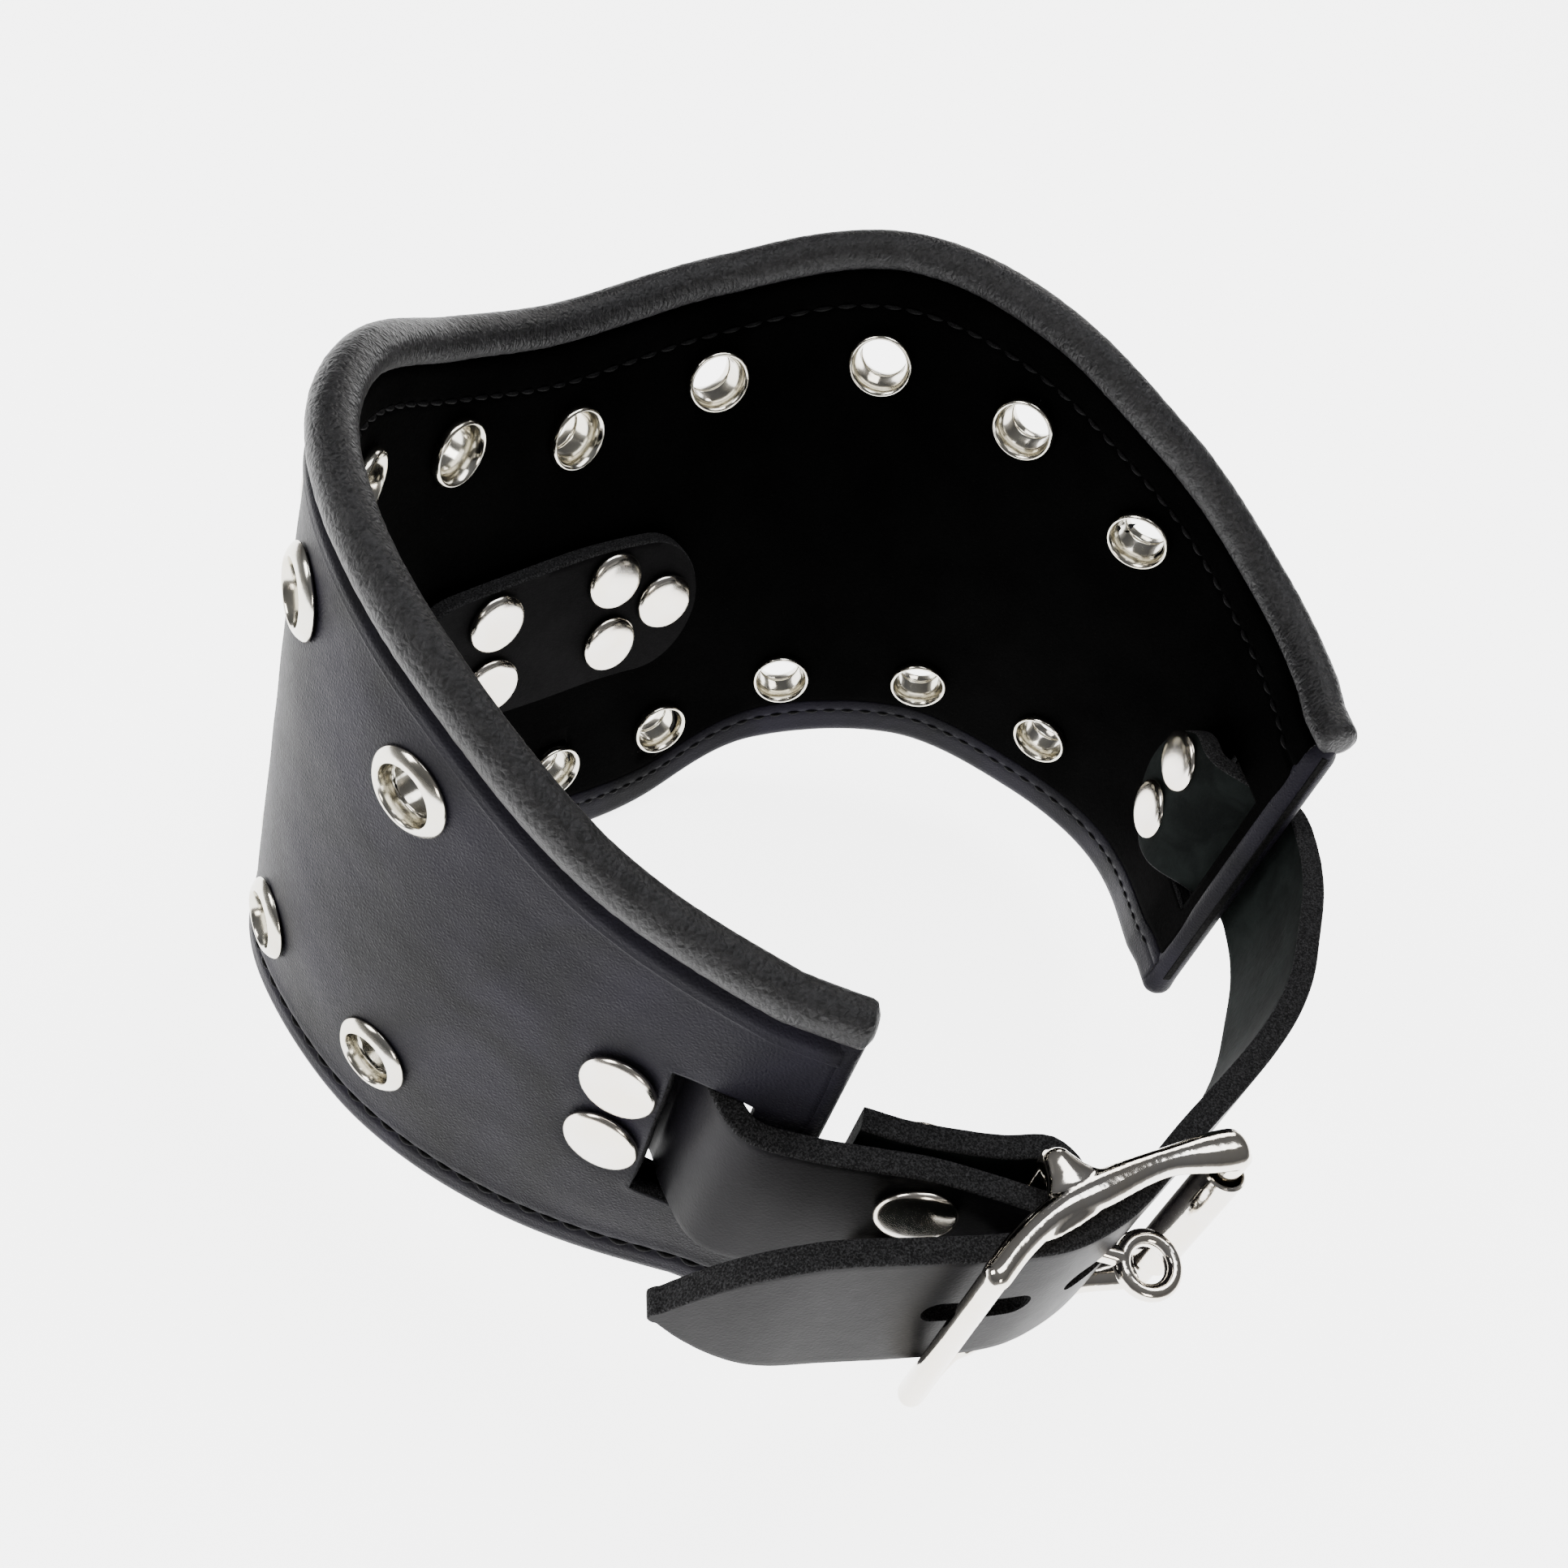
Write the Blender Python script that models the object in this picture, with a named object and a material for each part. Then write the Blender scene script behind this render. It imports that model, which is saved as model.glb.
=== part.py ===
"""Wide shaped leather neck collar with a strap and a centre-bar locking buckle.

Frame: metres, +Z up along the wearer's neck, -Y towards the throat, closure on the +Y side.
The origin is under the middle of the object, at its lowest point.
All working dimensions are in millimetres and are scaled once, when a mesh is made.
"""
import math

import bmesh
import bpy
from mathutils import Vector

MM = 0.001

# ---- driving dimensions, millimetres and degrees -------------------------------------------
ORIGIN = (-5.325, 67.95, -16.27)   # the frame's origin, measured from the throat centre

# Plan of the wall: how far it has turned at each step of arc length from the throat centre.
TURN_STEP = 27.2
TURN_RIGHT = (0, 20, 51, 60, 81, 126, 124)
TURN_LEFT = (0, 4, 37, 81, 103, 115, 126)
END_RIGHT = 156.5
END_LEFT = -160.0

# Heights of the shaped edges at each step of arc length from the throat centre.
EDGE_STEP = 25.0
TOP_HEIGHTS = (82.0, 87.0, 96.5, 97.0, 88.5, 76.0, 70.0)
BOTTOM_HEIGHTS = (-13.7, -12.3, 0.0, 6.0, 2.0, 3.3, 9.2)

# Outward lean of the wall in degrees, from the left end to the right end.
LEAN_STEP = 48.4
LEANS = (1, 0, -2, 10, 5, -10, 1)
LEAN_PIVOT = 41.0

GAP = 0.3                        # clearance between touching pieces
OUTER_THICK = 1.9
CORE_THICK = 1.2
LINING_THICK = 1.0
WALL_HALF = (OUTER_THICK + CORE_THICK + LINING_THICK) / 2 + GAP
TOP_ROLL_RADIUS = 3.0
BOTTOM_ROLL_RADIUS = 2.6
STATIONS = 34                    # slices along the wall
WALL_ROWS = 3                    # facets up the wall

EYELET_SPACING = 25.4
EYELET_COLUMNS = 9
EYELET_TOP_HEIGHTS = (64.4, 70.7, 78.6, 79.8, 71.2)
EYELET_BOTTOM_HEIGHTS = (0.0, 2.3, 13.5, 19.8, 18.8)
EYELET_HOLE_RADIUS = 4.6         # punched through the leather; the eyelet's tube passes with clearance
EYELET_SIDES = 8

STRAP_WIDTH = 25.4
STRAP_THICK = 3.4
STRAP_HEIGHT = 38.1              # height of the strap's centre line
STRAP_CLEAR = 1.1                # room between a strap and the curved wall
STRAP_INNER = -(WALL_HALF + STRAP_CLEAR + STRAP_THICK / 2)
RIVET_ARC = 135.5
RIVET_PITCH = 12.2
RIVET_HOLE_RADIUS = 1.9
POST_RADIUS = 1.5
CAP_RADIUS = 5.2
CAP_SIDES = 8
SLOT_NEAR = 140.9
SLOT_FAR = 151.4
SLOT_HEIGHT = 26.6

BAND_CENTRE = -3.7
BAND_LENGTH = 62.0
BAND_THICK = 2.4
BAND_HEIGHT = 31.9
BAND_PAIR_OFFSET = 12.3
BAND_APEX_OFFSET = 23.7

CENTRE_BAR = (26.0, 126.5)
NEAR_BAR = (43.6, 131.8)
FAR_BAR = (4.4, 140.2)
BAR_RADIUS = 2.0
RAIL_HALF = 15.4                 # rail centre above and below the strap's centre line
RAIL_RADIUS = 1.9
ROLLER_LENGTH = 22.6
ROLLER_RADIUS = 2.9
ROLLER_BORE = 2.3

TONGUE_HEIGHT = 5.0
TONGUE_BORE = 2.3
TONGUE_BARREL = 3.9
TONGUE_REACH = 18.4
EYE_RADIUS = 3.5
EYE_WIRE = 1.15
EYE_TILT = 14.0


# ---- curves ----------------------------------------------------------------------------------
def smooth_value(values, step, at):
    """Catmull-Rom value at distance `at` along evenly spaced control values."""
    last = len(values) - 1
    place = min(max(at / step, 0.0), last - 1e-6)
    i = int(place)
    t = place - i
    p1 = values[i]
    p2 = values[i + 1]
    p0 = values[i - 1] if i > 0 else 2 * p1 - p2
    p3 = values[i + 2] if i + 2 <= last else 2 * p2 - p1
    return 0.5 * (2 * p1 + (p2 - p0) * t + (2 * p0 - 5 * p1 + 4 * p2 - p3) * t * t
                  + (3 * p1 - p0 - 3 * p2 + p3) * t ** 3)


def mirrored_value(values, step, arc):
    """Value of a profile that is the same on both sides of the throat centre."""
    last = len(values) - 1
    place = min(abs(arc) / step, last - 1e-6)
    i = int(place)
    t = place - i
    p1 = values[i]
    p2 = values[i + 1]
    p0 = values[i - 1] if i > 0 else p2
    p3 = values[i + 2] if i + 2 <= last else 2 * p2 - p1
    return 0.5 * (2 * p1 + (p2 - p0) * t + (2 * p0 - 5 * p1 + 4 * p2 - p3) * t * t
                  + (3 * p1 - p0 - 3 * p2 + p3) * t ** 3)


def heading(arc):
    """Direction in which the wall runs at an arc length, in radians."""
    if arc >= 0:
        return math.radians(180 - smooth_value(TURN_RIGHT, TURN_STEP, arc))
    return math.radians(180 + smooth_value(TURN_LEFT, TURN_STEP, -arc))


def make_plan():
    """Walk along the wall in half-millimetre steps, both ways from the throat centre."""
    plan = {0: (0.0, 0.0)}
    for side in (1, -1):
        x, y = 0.0, 0.0
        for i in range(1, 341):
            angle = heading(side * (i - 0.5) * 0.5)
            x += side * 0.5 * math.cos(angle)
            y += side * 0.5 * math.sin(angle)
            plan[side * i] = (x, y)
    return plan


PLAN = make_plan()


def plan_point(arc, out=0.0):
    """Point on the wall's plan at an arc length, moved outwards by `out`."""
    place = arc / 0.5
    i = math.floor(place)
    t = place - i
    x = PLAN[i][0] * (1 - t) + PLAN[i + 1][0] * t
    y = PLAN[i][1] * (1 - t) + PLAN[i + 1][1] * t
    angle = heading(arc)
    return x - math.sin(angle) * out, y + math.cos(angle) * out


def lean(arc):
    """Outward slope of the wall."""
    half = LEAN_STEP * (len(LEANS) - 1) / 2
    return math.tan(math.radians(smooth_value(LEANS, LEAN_STEP, arc + half)))


def wall_point(arc, out, z):
    """Point of the leaning wall."""
    x, y = plan_point(arc, out + lean(arc) * (z - LEAN_PIVOT))
    return Vector((x, y, z))


def wall_normal(arc, z):
    """Outward normal of the leaning, twisting wall."""
    along = wall_point(arc + 0.5, 0, z) - wall_point(arc - 0.5, 0, z)
    upward = wall_point(arc, 0, z + 0.5) - wall_point(arc, 0, z - 0.5)
    return upward.cross(along).normalized()


def top_edge(arc):
    return mirrored_value(TOP_HEIGHTS, EDGE_STEP, arc)


def bottom_edge(arc):
    return mirrored_value(BOTTOM_HEIGHTS, EDGE_STEP, arc)


def spline(points, spacing):
    """Smooth curve through points, resampled about every `spacing`."""
    result = []
    last = len(points) - 1
    for i in range(last):
        p1 = Vector(points[i])
        p2 = Vector(points[i + 1])
        p0 = Vector(points[i - 1]) if i > 0 else 2 * p1 - p2
        p3 = Vector(points[i + 2]) if i + 2 <= last else 2 * p2 - p1
        count = max(1, round((p2 - p1).length / spacing))
        for k in range(count):
            t = k / count
            result.append(0.5 * (2 * p1 + (p2 - p0) * t
                                 + (2 * p0 - 5 * p1 + 4 * p2 - p3) * t * t
                                 + (3 * p1 - p0 - 3 * p2 + p3) * t ** 3))
    result.append(Vector(points[last]))
    return result


# ---- mesh building ---------------------------------------------------------------------------
def clear_scene():
    for obj in list(bpy.data.objects):
        bpy.data.objects.remove(obj, do_unlink=True)


def material(name, colour, roughness, metallic=0.0):
    mat = bpy.data.materials.get(name) or bpy.data.materials.new(name)
    mat.use_nodes = True
    shader = mat.node_tree.nodes["Principled BSDF"]
    shader.inputs["Base Color"].default_value = (*colour, 1.0)
    shader.inputs["Roughness"].default_value = roughness
    shader.inputs["Metallic"].default_value = metallic
    return mat


def leather(name, level, roughness):
    return material(name, (level, level, level * 1.08), roughness)


def nickel(name):
    return material(name, (0.72, 0.69, 0.64), 0.15, 1.0)


def finish_mesh(bm, name, mat=None, pivot=(0, 0, 0), smooth=30):
    """Turn a bmesh in millimetres into an object whose origin is at `pivot`."""
    bmesh.ops.recalc_face_normals(bm, faces=bm.faces)
    shift = Vector(pivot)
    for vert in bm.verts:
        vert.co = (vert.co - shift) * MM
    mesh = bpy.data.meshes.new(name)
    bm.to_mesh(mesh)
    bm.free()
    mesh.shade_smooth()
    mesh.set_sharp_from_angle(angle=math.radians(smooth))
    obj = bpy.data.objects.new(name, mesh)
    obj.location = (shift - Vector(ORIGIN)) * MM
    if mat:
        mesh.materials.append(mat)
    bpy.context.scene.collection.objects.link(obj)
    return obj


def add_loft(bm, rings):
    """Join rings of equal size into one closed body with flat ends."""
    rows = [[bm.verts.new(point) for point in ring] for ring in rings]
    size = len(rows[0])
    for a, b in zip(rows, rows[1:]):
        for k in range(size):
            n = (k + 1) % size
            bm.faces.new((a[k], a[n], b[n], b[k]))
    bm.faces.new(list(reversed(rows[0])))
    bm.faces.new(rows[-1])


def add_sheet(bm, columns):
    """Closed sheet from columns of (inner, outer) points, both running from bottom to top."""
    made = [[[bm.verts.new(p) for p in side] for side in column] for column in columns]
    top = len(made[0][0]) - 1
    for here, there in zip(made, made[1:]):
        for side in (0, 1):
            a = here[side]
            b = there[side]
            for j in range(top):
                bm.faces.new((a[j], b[j], b[j + 1]))
                bm.faces.new((a[j], b[j + 1], a[j + 1]))
        for j in (0, top):
            bm.faces.new((here[0][j], here[1][j], there[1][j], there[0][j]))
    for inner, outer in (made[0], made[-1]):
        bm.faces.new(inner + list(reversed(outer)))


def wall_column(arc, out_low, out_high, low, high, rows):
    """Matching inner and outer points of one upright slice of the wall."""
    heights = [low + (high - low) * j / rows for j in range(rows + 1)]
    return [[wall_point(arc, out, z) for z in heights] for out in (out_low, out_high)]


def add_turned(bm, centre, axis, profile, sides):
    """Turn a profile of (radius, height) about an axis; the profile closes on itself or the axis."""
    axis = Vector(axis).normalized()
    side = axis.cross(Vector((0, 0, 1)) if abs(axis.z) < 0.9 else Vector((1, 0, 0))).normalized()
    other = axis.cross(side)
    rows = []
    for radius, height in profile:
        base = Vector(centre) + axis * height
        if radius < 1e-6:
            rows.append([bm.verts.new(base)])
            continue
        angles = [2 * math.pi * k / sides for k in range(sides)]
        rows.append([bm.verts.new(base + (side * math.cos(a) + other * math.sin(a)) * radius)
                     for a in angles])
    closed = len(rows[0]) > 1 and len(rows[-1]) > 1
    pairs = list(zip(rows, rows[1:]))
    if closed:
        pairs.append((rows[-1], rows[0]))
    for a, b in pairs:
        for k in range(sides):
            n = (k + 1) % sides
            corners = [a[k % len(a)], a[n % len(a)], b[n % len(b)], b[k % len(b)]]
            unique = list(dict.fromkeys(corners))
            bm.faces.new(unique)


def add_tube(bm, points, width, height, sides=8):
    """Sweep an upright oval along a level path; width lies across the path, height along Z."""
    rings = []
    for i, point in enumerate(points):
        ahead = points[min(i + 1, len(points) - 1)]
        behind = points[max(i - 1, 0)]
        run = (ahead - behind).normalized()
        across = Vector((run.y, -run.x, 0)).normalized()
        up = run.cross(across)
        scale = width[i] if isinstance(width, (list, tuple)) else width
        rings.append([point + across * scale * math.cos(2 * math.pi * k / sides)
                      + up * height * math.sin(2 * math.pi * k / sides) for k in range(sides)])
    add_loft(bm, rings)


def add_post(bm, plan, low, high, radius, sides=12):
    profile = ((0, low), (radius, low), (radius, high), (0, high))
    add_turned(bm, (plan[0], plan[1], 0), (0, 0, 1), profile, sides)


def cutter(bm, name):
    obj = finish_mesh(bm, name)
    obj.hide_render = True
    obj.display_type = "WIRE"
    return obj


def apply_boolean(obj, other, operation, solver="EXACT"):
    mod = obj.modifiers.new(operation.lower(), "BOOLEAN")
    mod.operation = operation
    mod.solver = solver
    mod.object = other


# ---- the wall --------------------------------------------------------------------------------
def stations(start=END_LEFT, end=END_RIGHT, count=STATIONS):
    return [start + (end - start) * i / count for i in range(count + 1)]


def wall_layer(name, out_low, out_high, mat, cutters):
    """One sheet of the wall between two offsets from its middle surface."""
    bm = bmesh.new()
    columns = []
    for arc in stations():
        low = bottom_edge(arc) + BOTTOM_ROLL_RADIUS + GAP
        high = top_edge(arc) - TOP_ROLL_RADIUS - GAP
        columns.append(wall_column(arc, out_low, out_high, low, high, WALL_ROWS))
    add_sheet(bm, columns)
    obj = finish_mesh(bm, name, mat)
    for other in cutters:
        apply_boolean(obj, other, "DIFFERENCE")
    return obj


def edge_roll(name, height_of, radius, mat):
    """Round bead that finishes a shaped edge."""
    bm = bmesh.new()
    rings = []
    sides = 8
    for arc in stations():
        z = height_of(arc)
        centre = wall_point(arc, 0, z)
        normal = wall_normal(arc, z)
        normal.z = 0
        normal.normalize()
        rings.append([centre + normal * radius * math.cos(2 * math.pi * (k + 0.5) / sides)
                      + Vector((0, 0, radius * math.sin(2 * math.pi * (k + 0.5) / sides)))
                      for k in range(sides)])
    add_loft(bm, rings)
    return finish_mesh(bm, name, mat, smooth=50)


def eyelet_places(heights):
    """Arc length and height of each eyelet in a row that is the same on both sides."""
    middle = EYELET_COLUMNS // 2
    return [((i - middle) * EYELET_SPACING, heights[abs(i - middle)]) for i in range(EYELET_COLUMNS)]


def strap_rivet_places(side):
    return [(side * RIVET_ARC, STRAP_HEIGHT + step * RIVET_PITCH / 2) for step in (-1, 1)]


def band_rivet_places():
    places = []
    for side in (-1, 1):
        for step in (-1, 1):
            places.append((BAND_CENTRE + side * BAND_PAIR_OFFSET, BAND_HEIGHT + step * RIVET_PITCH / 2))
        places.append((BAND_CENTRE + side * BAND_APEX_OFFSET, BAND_HEIGHT))
    return places


def eyelet_cutter():
    bm = bmesh.new()
    for arc, z in eyelet_places(EYELET_TOP_HEIGHTS) + eyelet_places(EYELET_BOTTOM_HEIGHTS):
        profile = ((0, -6), (EYELET_HOLE_RADIUS, -6), (EYELET_HOLE_RADIUS, 7), (0, 7))
        add_turned(bm, wall_point(arc, 0, z), wall_normal(arc, z), profile, EYELET_SIDES)
    return cutter(bm, "cut_eyelet_holes")


def rivet_cutter():
    bm = bmesh.new()
    for arc, z in strap_rivet_places(-1) + strap_rivet_places(1) + band_rivet_places():
        profile = ((0, -12), (RIVET_HOLE_RADIUS, -12), (RIVET_HOLE_RADIUS, 9), (0, 9))
        add_turned(bm, wall_point(arc, 0, z), wall_normal(arc, z), profile, 8)
    return cutter(bm, "cut_rivet_holes")


def slot_cutter():
    bm = bmesh.new()
    for side in (-1, 1):
        rings = []
        for arc in (side * SLOT_NEAR, side * (SLOT_NEAR + SLOT_FAR) / 2, side * SLOT_FAR):
            low = STRAP_HEIGHT - SLOT_HEIGHT / 2
            high = STRAP_HEIGHT + SLOT_HEIGHT / 2
            rings.append([wall_point(arc, -8, low), wall_point(arc, 8, low),
                          wall_point(arc, 8, high), wall_point(arc, -8, high)])
        add_loft(bm, rings)
    return cutter(bm, "cut_strap_slots")


def make_wall():
    cutters = (eyelet_cutter(), rivet_cutter(), slot_cutter())
    outer = WALL_HALF
    core = outer - OUTER_THICK - GAP
    lining = core - CORE_THICK - GAP
    wall_layer("outer_leather", outer - OUTER_THICK, outer, leather("outer_leather", 0.022, 0.45), cutters)
    wall_layer("stiffener", core - CORE_THICK, core, leather("stiffener", 0.05, 0.8), cutters)
    wall_layer("lining", lining - LINING_THICK, lining, leather("lining", 0.008, 0.7), cutters)
    edge_roll("top_rolled_edge", top_edge, TOP_ROLL_RADIUS, leather("edge", 0.02, 0.5))
    edge_roll("bottom_rolled_edge", bottom_edge, BOTTOM_ROLL_RADIUS, leather("edge", 0.02, 0.5))


# ---- eyelets and rivets ----------------------------------------------------------------------
# Radius and height above the wall's middle surface, round the eyelet's closed section:
# bore, splayed inner mouth, inner rim, tube, outer flange with its raised lip, dished outer mouth.
EYELET_PROFILE = ((3.75, -2.9), (4.1, -3.9), (4.9, -4.1), (5.25, -3.3), (4.15, -3.3), (4.15, 3.0),
                  (5.95, 3.0), (5.95, 3.5), (5.4, 3.9), (4.4, 3.6), (3.75, 2.6))


def make_eyelets(row, heights):
    """Set eyelets: a flange outside and a splayed rim inside, open right through the wall."""
    for number, (arc, z) in enumerate(eyelet_places(heights), 1):
        centre = wall_point(arc, 0, z)
        bm = bmesh.new()
        add_turned(bm, centre, wall_normal(arc, z), EYELET_PROFILE, EYELET_SIDES)
        finish_mesh(bm, f"{row}_eyelet_{number}", nickel("eyelet"), centre)


def rivet_profile(outer_seat, inner_seat):
    """Flat-domed cap, post and matching inner cap of a set rivet."""
    shoulder = CAP_RADIUS * 0.65
    return ((0, inner_seat - 1.5), (shoulder, inner_seat - 1.2), (CAP_RADIUS, inner_seat),
            (POST_RADIUS, inner_seat), (POST_RADIUS, outer_seat), (CAP_RADIUS, outer_seat),
            (shoulder, outer_seat + 1.2), (0, outer_seat + 1.5))


def make_wall_rivets(name, places, outer_seat, inner_seat):
    for number, (arc, z) in enumerate(places, 1):
        centre = wall_point(arc, 0, z)
        bm = bmesh.new()
        add_turned(bm, centre, wall_normal(arc, z), rivet_profile(outer_seat, inner_seat), CAP_SIDES)
        finish_mesh(bm, f"{name}_rivet_{number}", nickel("rivet"), centre)


def make_rivets():
    outside = WALL_HALF + 0.8
    strap_inside = STRAP_INNER - STRAP_THICK / 2 - 0.8
    band_inside = -(WALL_HALF + GAP + BAND_THICK + 0.8)
    make_wall_rivets("chape_anchor", strap_rivet_places(-1), outside, strap_inside)
    make_wall_rivets("billet_anchor", strap_rivet_places(1), outside, strap_inside)
    make_wall_rivets("band", band_rivet_places(), outside, band_inside)


def make_band():
    """Reinforcing band on the inside of the throat, with rounded ends."""
    bm = bmesh.new()
    low = -(WALL_HALF + GAP + BAND_THICK)
    high = -(WALL_HALF + GAP)
    columns = []
    half = BAND_LENGTH / 2
    corner = 11.0
    count = 16
    for i in range(count + 1):
        along = -half * math.cos(math.pi * i / count)
        beyond = max(0.0, abs(along) - (half - corner)) / corner
        reach = STRAP_WIDTH / 2 * math.sqrt(max(0.04, 1 - beyond ** 2))
        arc = BAND_CENTRE + along
        columns.append(wall_column(arc, low, high, BAND_HEIGHT - reach, BAND_HEIGHT + reach, 2))
    add_sheet(bm, columns)
    band = finish_mesh(bm, "inner_band", leather("inner_band", 0.015, 0.65))
    apply_boolean(band, bpy.data.objects["cut_rivet_holes"], "DIFFERENCE")


# ---- straps ----------------------------------------------------------------------------------
def strap_entry(side):
    """Plan route from the strap's inner end, through the slot, to the outside of the wall."""
    outside = WALL_HALF + STRAP_CLEAR + STRAP_THICK / 2
    stops = ((127.5, STRAP_INNER), (134.0, STRAP_INNER), (141.3, STRAP_INNER), (145.9, 0.1), (151.4, outside))
    return [plan_point(side * arc, out + lean(side * arc) * (STRAP_HEIGHT - LEAN_PIVOT))
            for arc, out in stops]


BILLET_ROUTE = ((-56.2, 115.0), (-49.4, 120.2), (-40.5, 124.9), (-32.9, 128.5), (-25.0, 130.9),
                (-16.0, 132.4), (-6.0, 133.3), (4.0, 134.0), (14.0, 135.0), (22.0, 135.2), (30.0, 133.7),
                (37.0, 130.2), (43.6, 126.0), (51.9, 120.4), (59.0, 115.8), (65.2, 111.0), (70.3, 106.9))
CHAPE_ROUTE = ((48.2, 106.8), (43.6, 111.6), (37.6, 117.6), (33.0, 123.6))
FOLD_SEAT = 4.9
FOLD_DIRECTION = (-0.66, 0.75)
TAIL_ROUTE = ((27.5, 120.9), (32.6, 116.2), (36.6, 112.0), (39.8, 107.6))
BILLET_SLOTS = ((19.2, 135.2), (37.4, 129.9))
BILLET_SLOT_SIZE = (14.5, 4.6)
TIP_LENGTH = 20.0
TIP_BLUNT = 0.08                 # share of the width left at the very tip


def fold_arc():
    """Half turn of the chape round the centre bar."""
    along = Vector(FOLD_DIRECTION).normalized()
    out = Vector((along.y, -along.x))
    radius = BAR_RADIUS + GAP + STRAP_THICK / 2
    steps = 6
    points = []
    for i in range(steps + 1):
        angle = math.pi * i / steps
        points.append(Vector(CENTRE_BAR) + radius * (out * math.cos(angle) + along * math.sin(angle)))
    return points


def strap_solid(bm, route, spacing, tip=0.0):
    """Flat strap on edge along a plan route, with a pointed tip at its far end."""
    path = spline(route, spacing)
    lengths = [0.0]
    for a, b in zip(path, path[1:]):
        lengths.append(lengths[-1] + (b - a).length)
    rings = []
    for i, point in enumerate(path):
        run = (path[min(i + 1, len(path) - 1)] - path[max(i - 1, 0)]).normalized()
        across = Vector((run.y, -run.x)) * STRAP_THICK / 2
        left = lengths[-1] - lengths[i]
        reach = STRAP_WIDTH / 2
        if tip and left < tip:
            reach *= max(TIP_BLUNT, 1 - (1 - left / tip) ** 2)
        low = STRAP_HEIGHT - reach
        high = STRAP_HEIGHT + reach
        a = point - across
        b = point + across
        rings.append([Vector((a.x, a.y, low)), Vector((b.x, b.y, low)),
                      Vector((b.x, b.y, high)), Vector((a.x, a.y, high))])
    add_loft(bm, rings)


def oblong_cutter(name, places, length, height, direction):
    """Upright oblong punch for the tongue slots, cutting across the strap."""
    bm = bmesh.new()
    run = Vector((*direction, 0)).normalized()
    through = Vector((run.y, -run.x, 0))
    up = Vector((0, 0, 1))
    half = (length - height) / 2
    for x, y in places:
        rings = []
        for depth in (-4.5, 4.5):
            centre = Vector((x, y, STRAP_HEIGHT)) + through * depth
            ring = []
            for end, start in ((1, -90), (-1, 90)):
                for k in range(5):
                    angle = math.radians(start + 45 * k)
                    ring.append(centre + run * (end * half + height / 2 * math.cos(angle))
                                + up * height / 2 * math.sin(angle))
            rings.append(ring)
        add_loft(bm, rings)
    return cutter(bm, name)


def make_billet():
    bm = bmesh.new()
    route = strap_entry(1) + list(BILLET_ROUTE)
    strap_solid(bm, route, 5.0, TIP_LENGTH)
    billet = finish_mesh(bm, "billet_strap", leather("billet_strap", 0.03, 0.5))
    apply_boolean(billet, bpy.data.objects["cut_rivet_holes"], "DIFFERENCE")
    size = BILLET_SLOT_SIZE
    apply_boolean(billet, oblong_cutter("cut_slot_tongue", BILLET_SLOTS[:1], *size, (-1, 0)), "DIFFERENCE")
    apply_boolean(billet, oblong_cutter("cut_slot_spare", BILLET_SLOTS[1:], *size, (-0.84, 0.54)),
                  "DIFFERENCE")


def chape_rivets():
    """Centre and direction of the rivets that close the chape's fold."""
    run = Vector((-0.70, 0.71, 0)).normalized()
    axis = Vector((run.y, -run.x, 0))
    centre = Vector((36.2, 116.0, STRAP_HEIGHT))
    return [centre + Vector((0, 0, step * RIVET_PITCH / 2)) for step in (-1, 1)], axis


def make_chape():
    """Strap that holds the buckle: anchored at the left end and folded round the centre bar."""
    bm = bmesh.new()
    route = strap_entry(-1) + list(CHAPE_ROUTE) + [tuple(p) for p in fold_arc()] + list(TAIL_ROUTE)
    strap_solid(bm, route, 4.0)
    chape = finish_mesh(bm, "chape_strap", leather("chape_strap", 0.03, 0.5))
    apply_boolean(chape, bpy.data.objects["cut_rivet_holes"], "DIFFERENCE")
    bm = bmesh.new()
    add_post(bm, CENTRE_BAR, STRAP_HEIGHT - 3.0, STRAP_HEIGHT + 3.0, 7.5, 16)
    apply_boolean(chape, cutter(bm, "cut_tongue_notch"), "DIFFERENCE")
    bm = bmesh.new()
    centres, axis = chape_rivets()
    for centre in centres:
        add_turned(bm, centre, axis, ((0, -9), (RIVET_HOLE_RADIUS, -9), (RIVET_HOLE_RADIUS, 9), (0, 9)), 8)
    apply_boolean(chape, cutter(bm, "cut_chape_rivets"), "DIFFERENCE")
    for number, centre in enumerate(centres, 1):
        bm = bmesh.new()
        add_turned(bm, centre, axis, rivet_profile(FOLD_SEAT, -FOLD_SEAT), CAP_SIDES)
        finish_mesh(bm, f"fold_rivet_{number}", nickel("rivet"), centre)


# ---- buckle ----------------------------------------------------------------------------------
RAIL_ROUTE = ((43.6, 131.8), (38.0, 131.0), (31.5, 131.0), (25.0, 132.2), (14.5, 134.9), (4.4, 139.4))
RAIL_WIDTHS = (1.9, 2.1, 2.2, 2.4, 2.2, 3.0)


def add_rail(bm, z):
    path = [Vector((p.x, p.y, z)) for p in spline(RAIL_ROUTE, 4.0)]
    widths = []
    for i in range(len(path)):
        place = i / (len(path) - 1) * (len(RAIL_WIDTHS) - 1)
        widths.append(smooth_value(RAIL_WIDTHS, 1.0, place))
    add_tube(bm, path, widths, RAIL_RADIUS)


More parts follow.
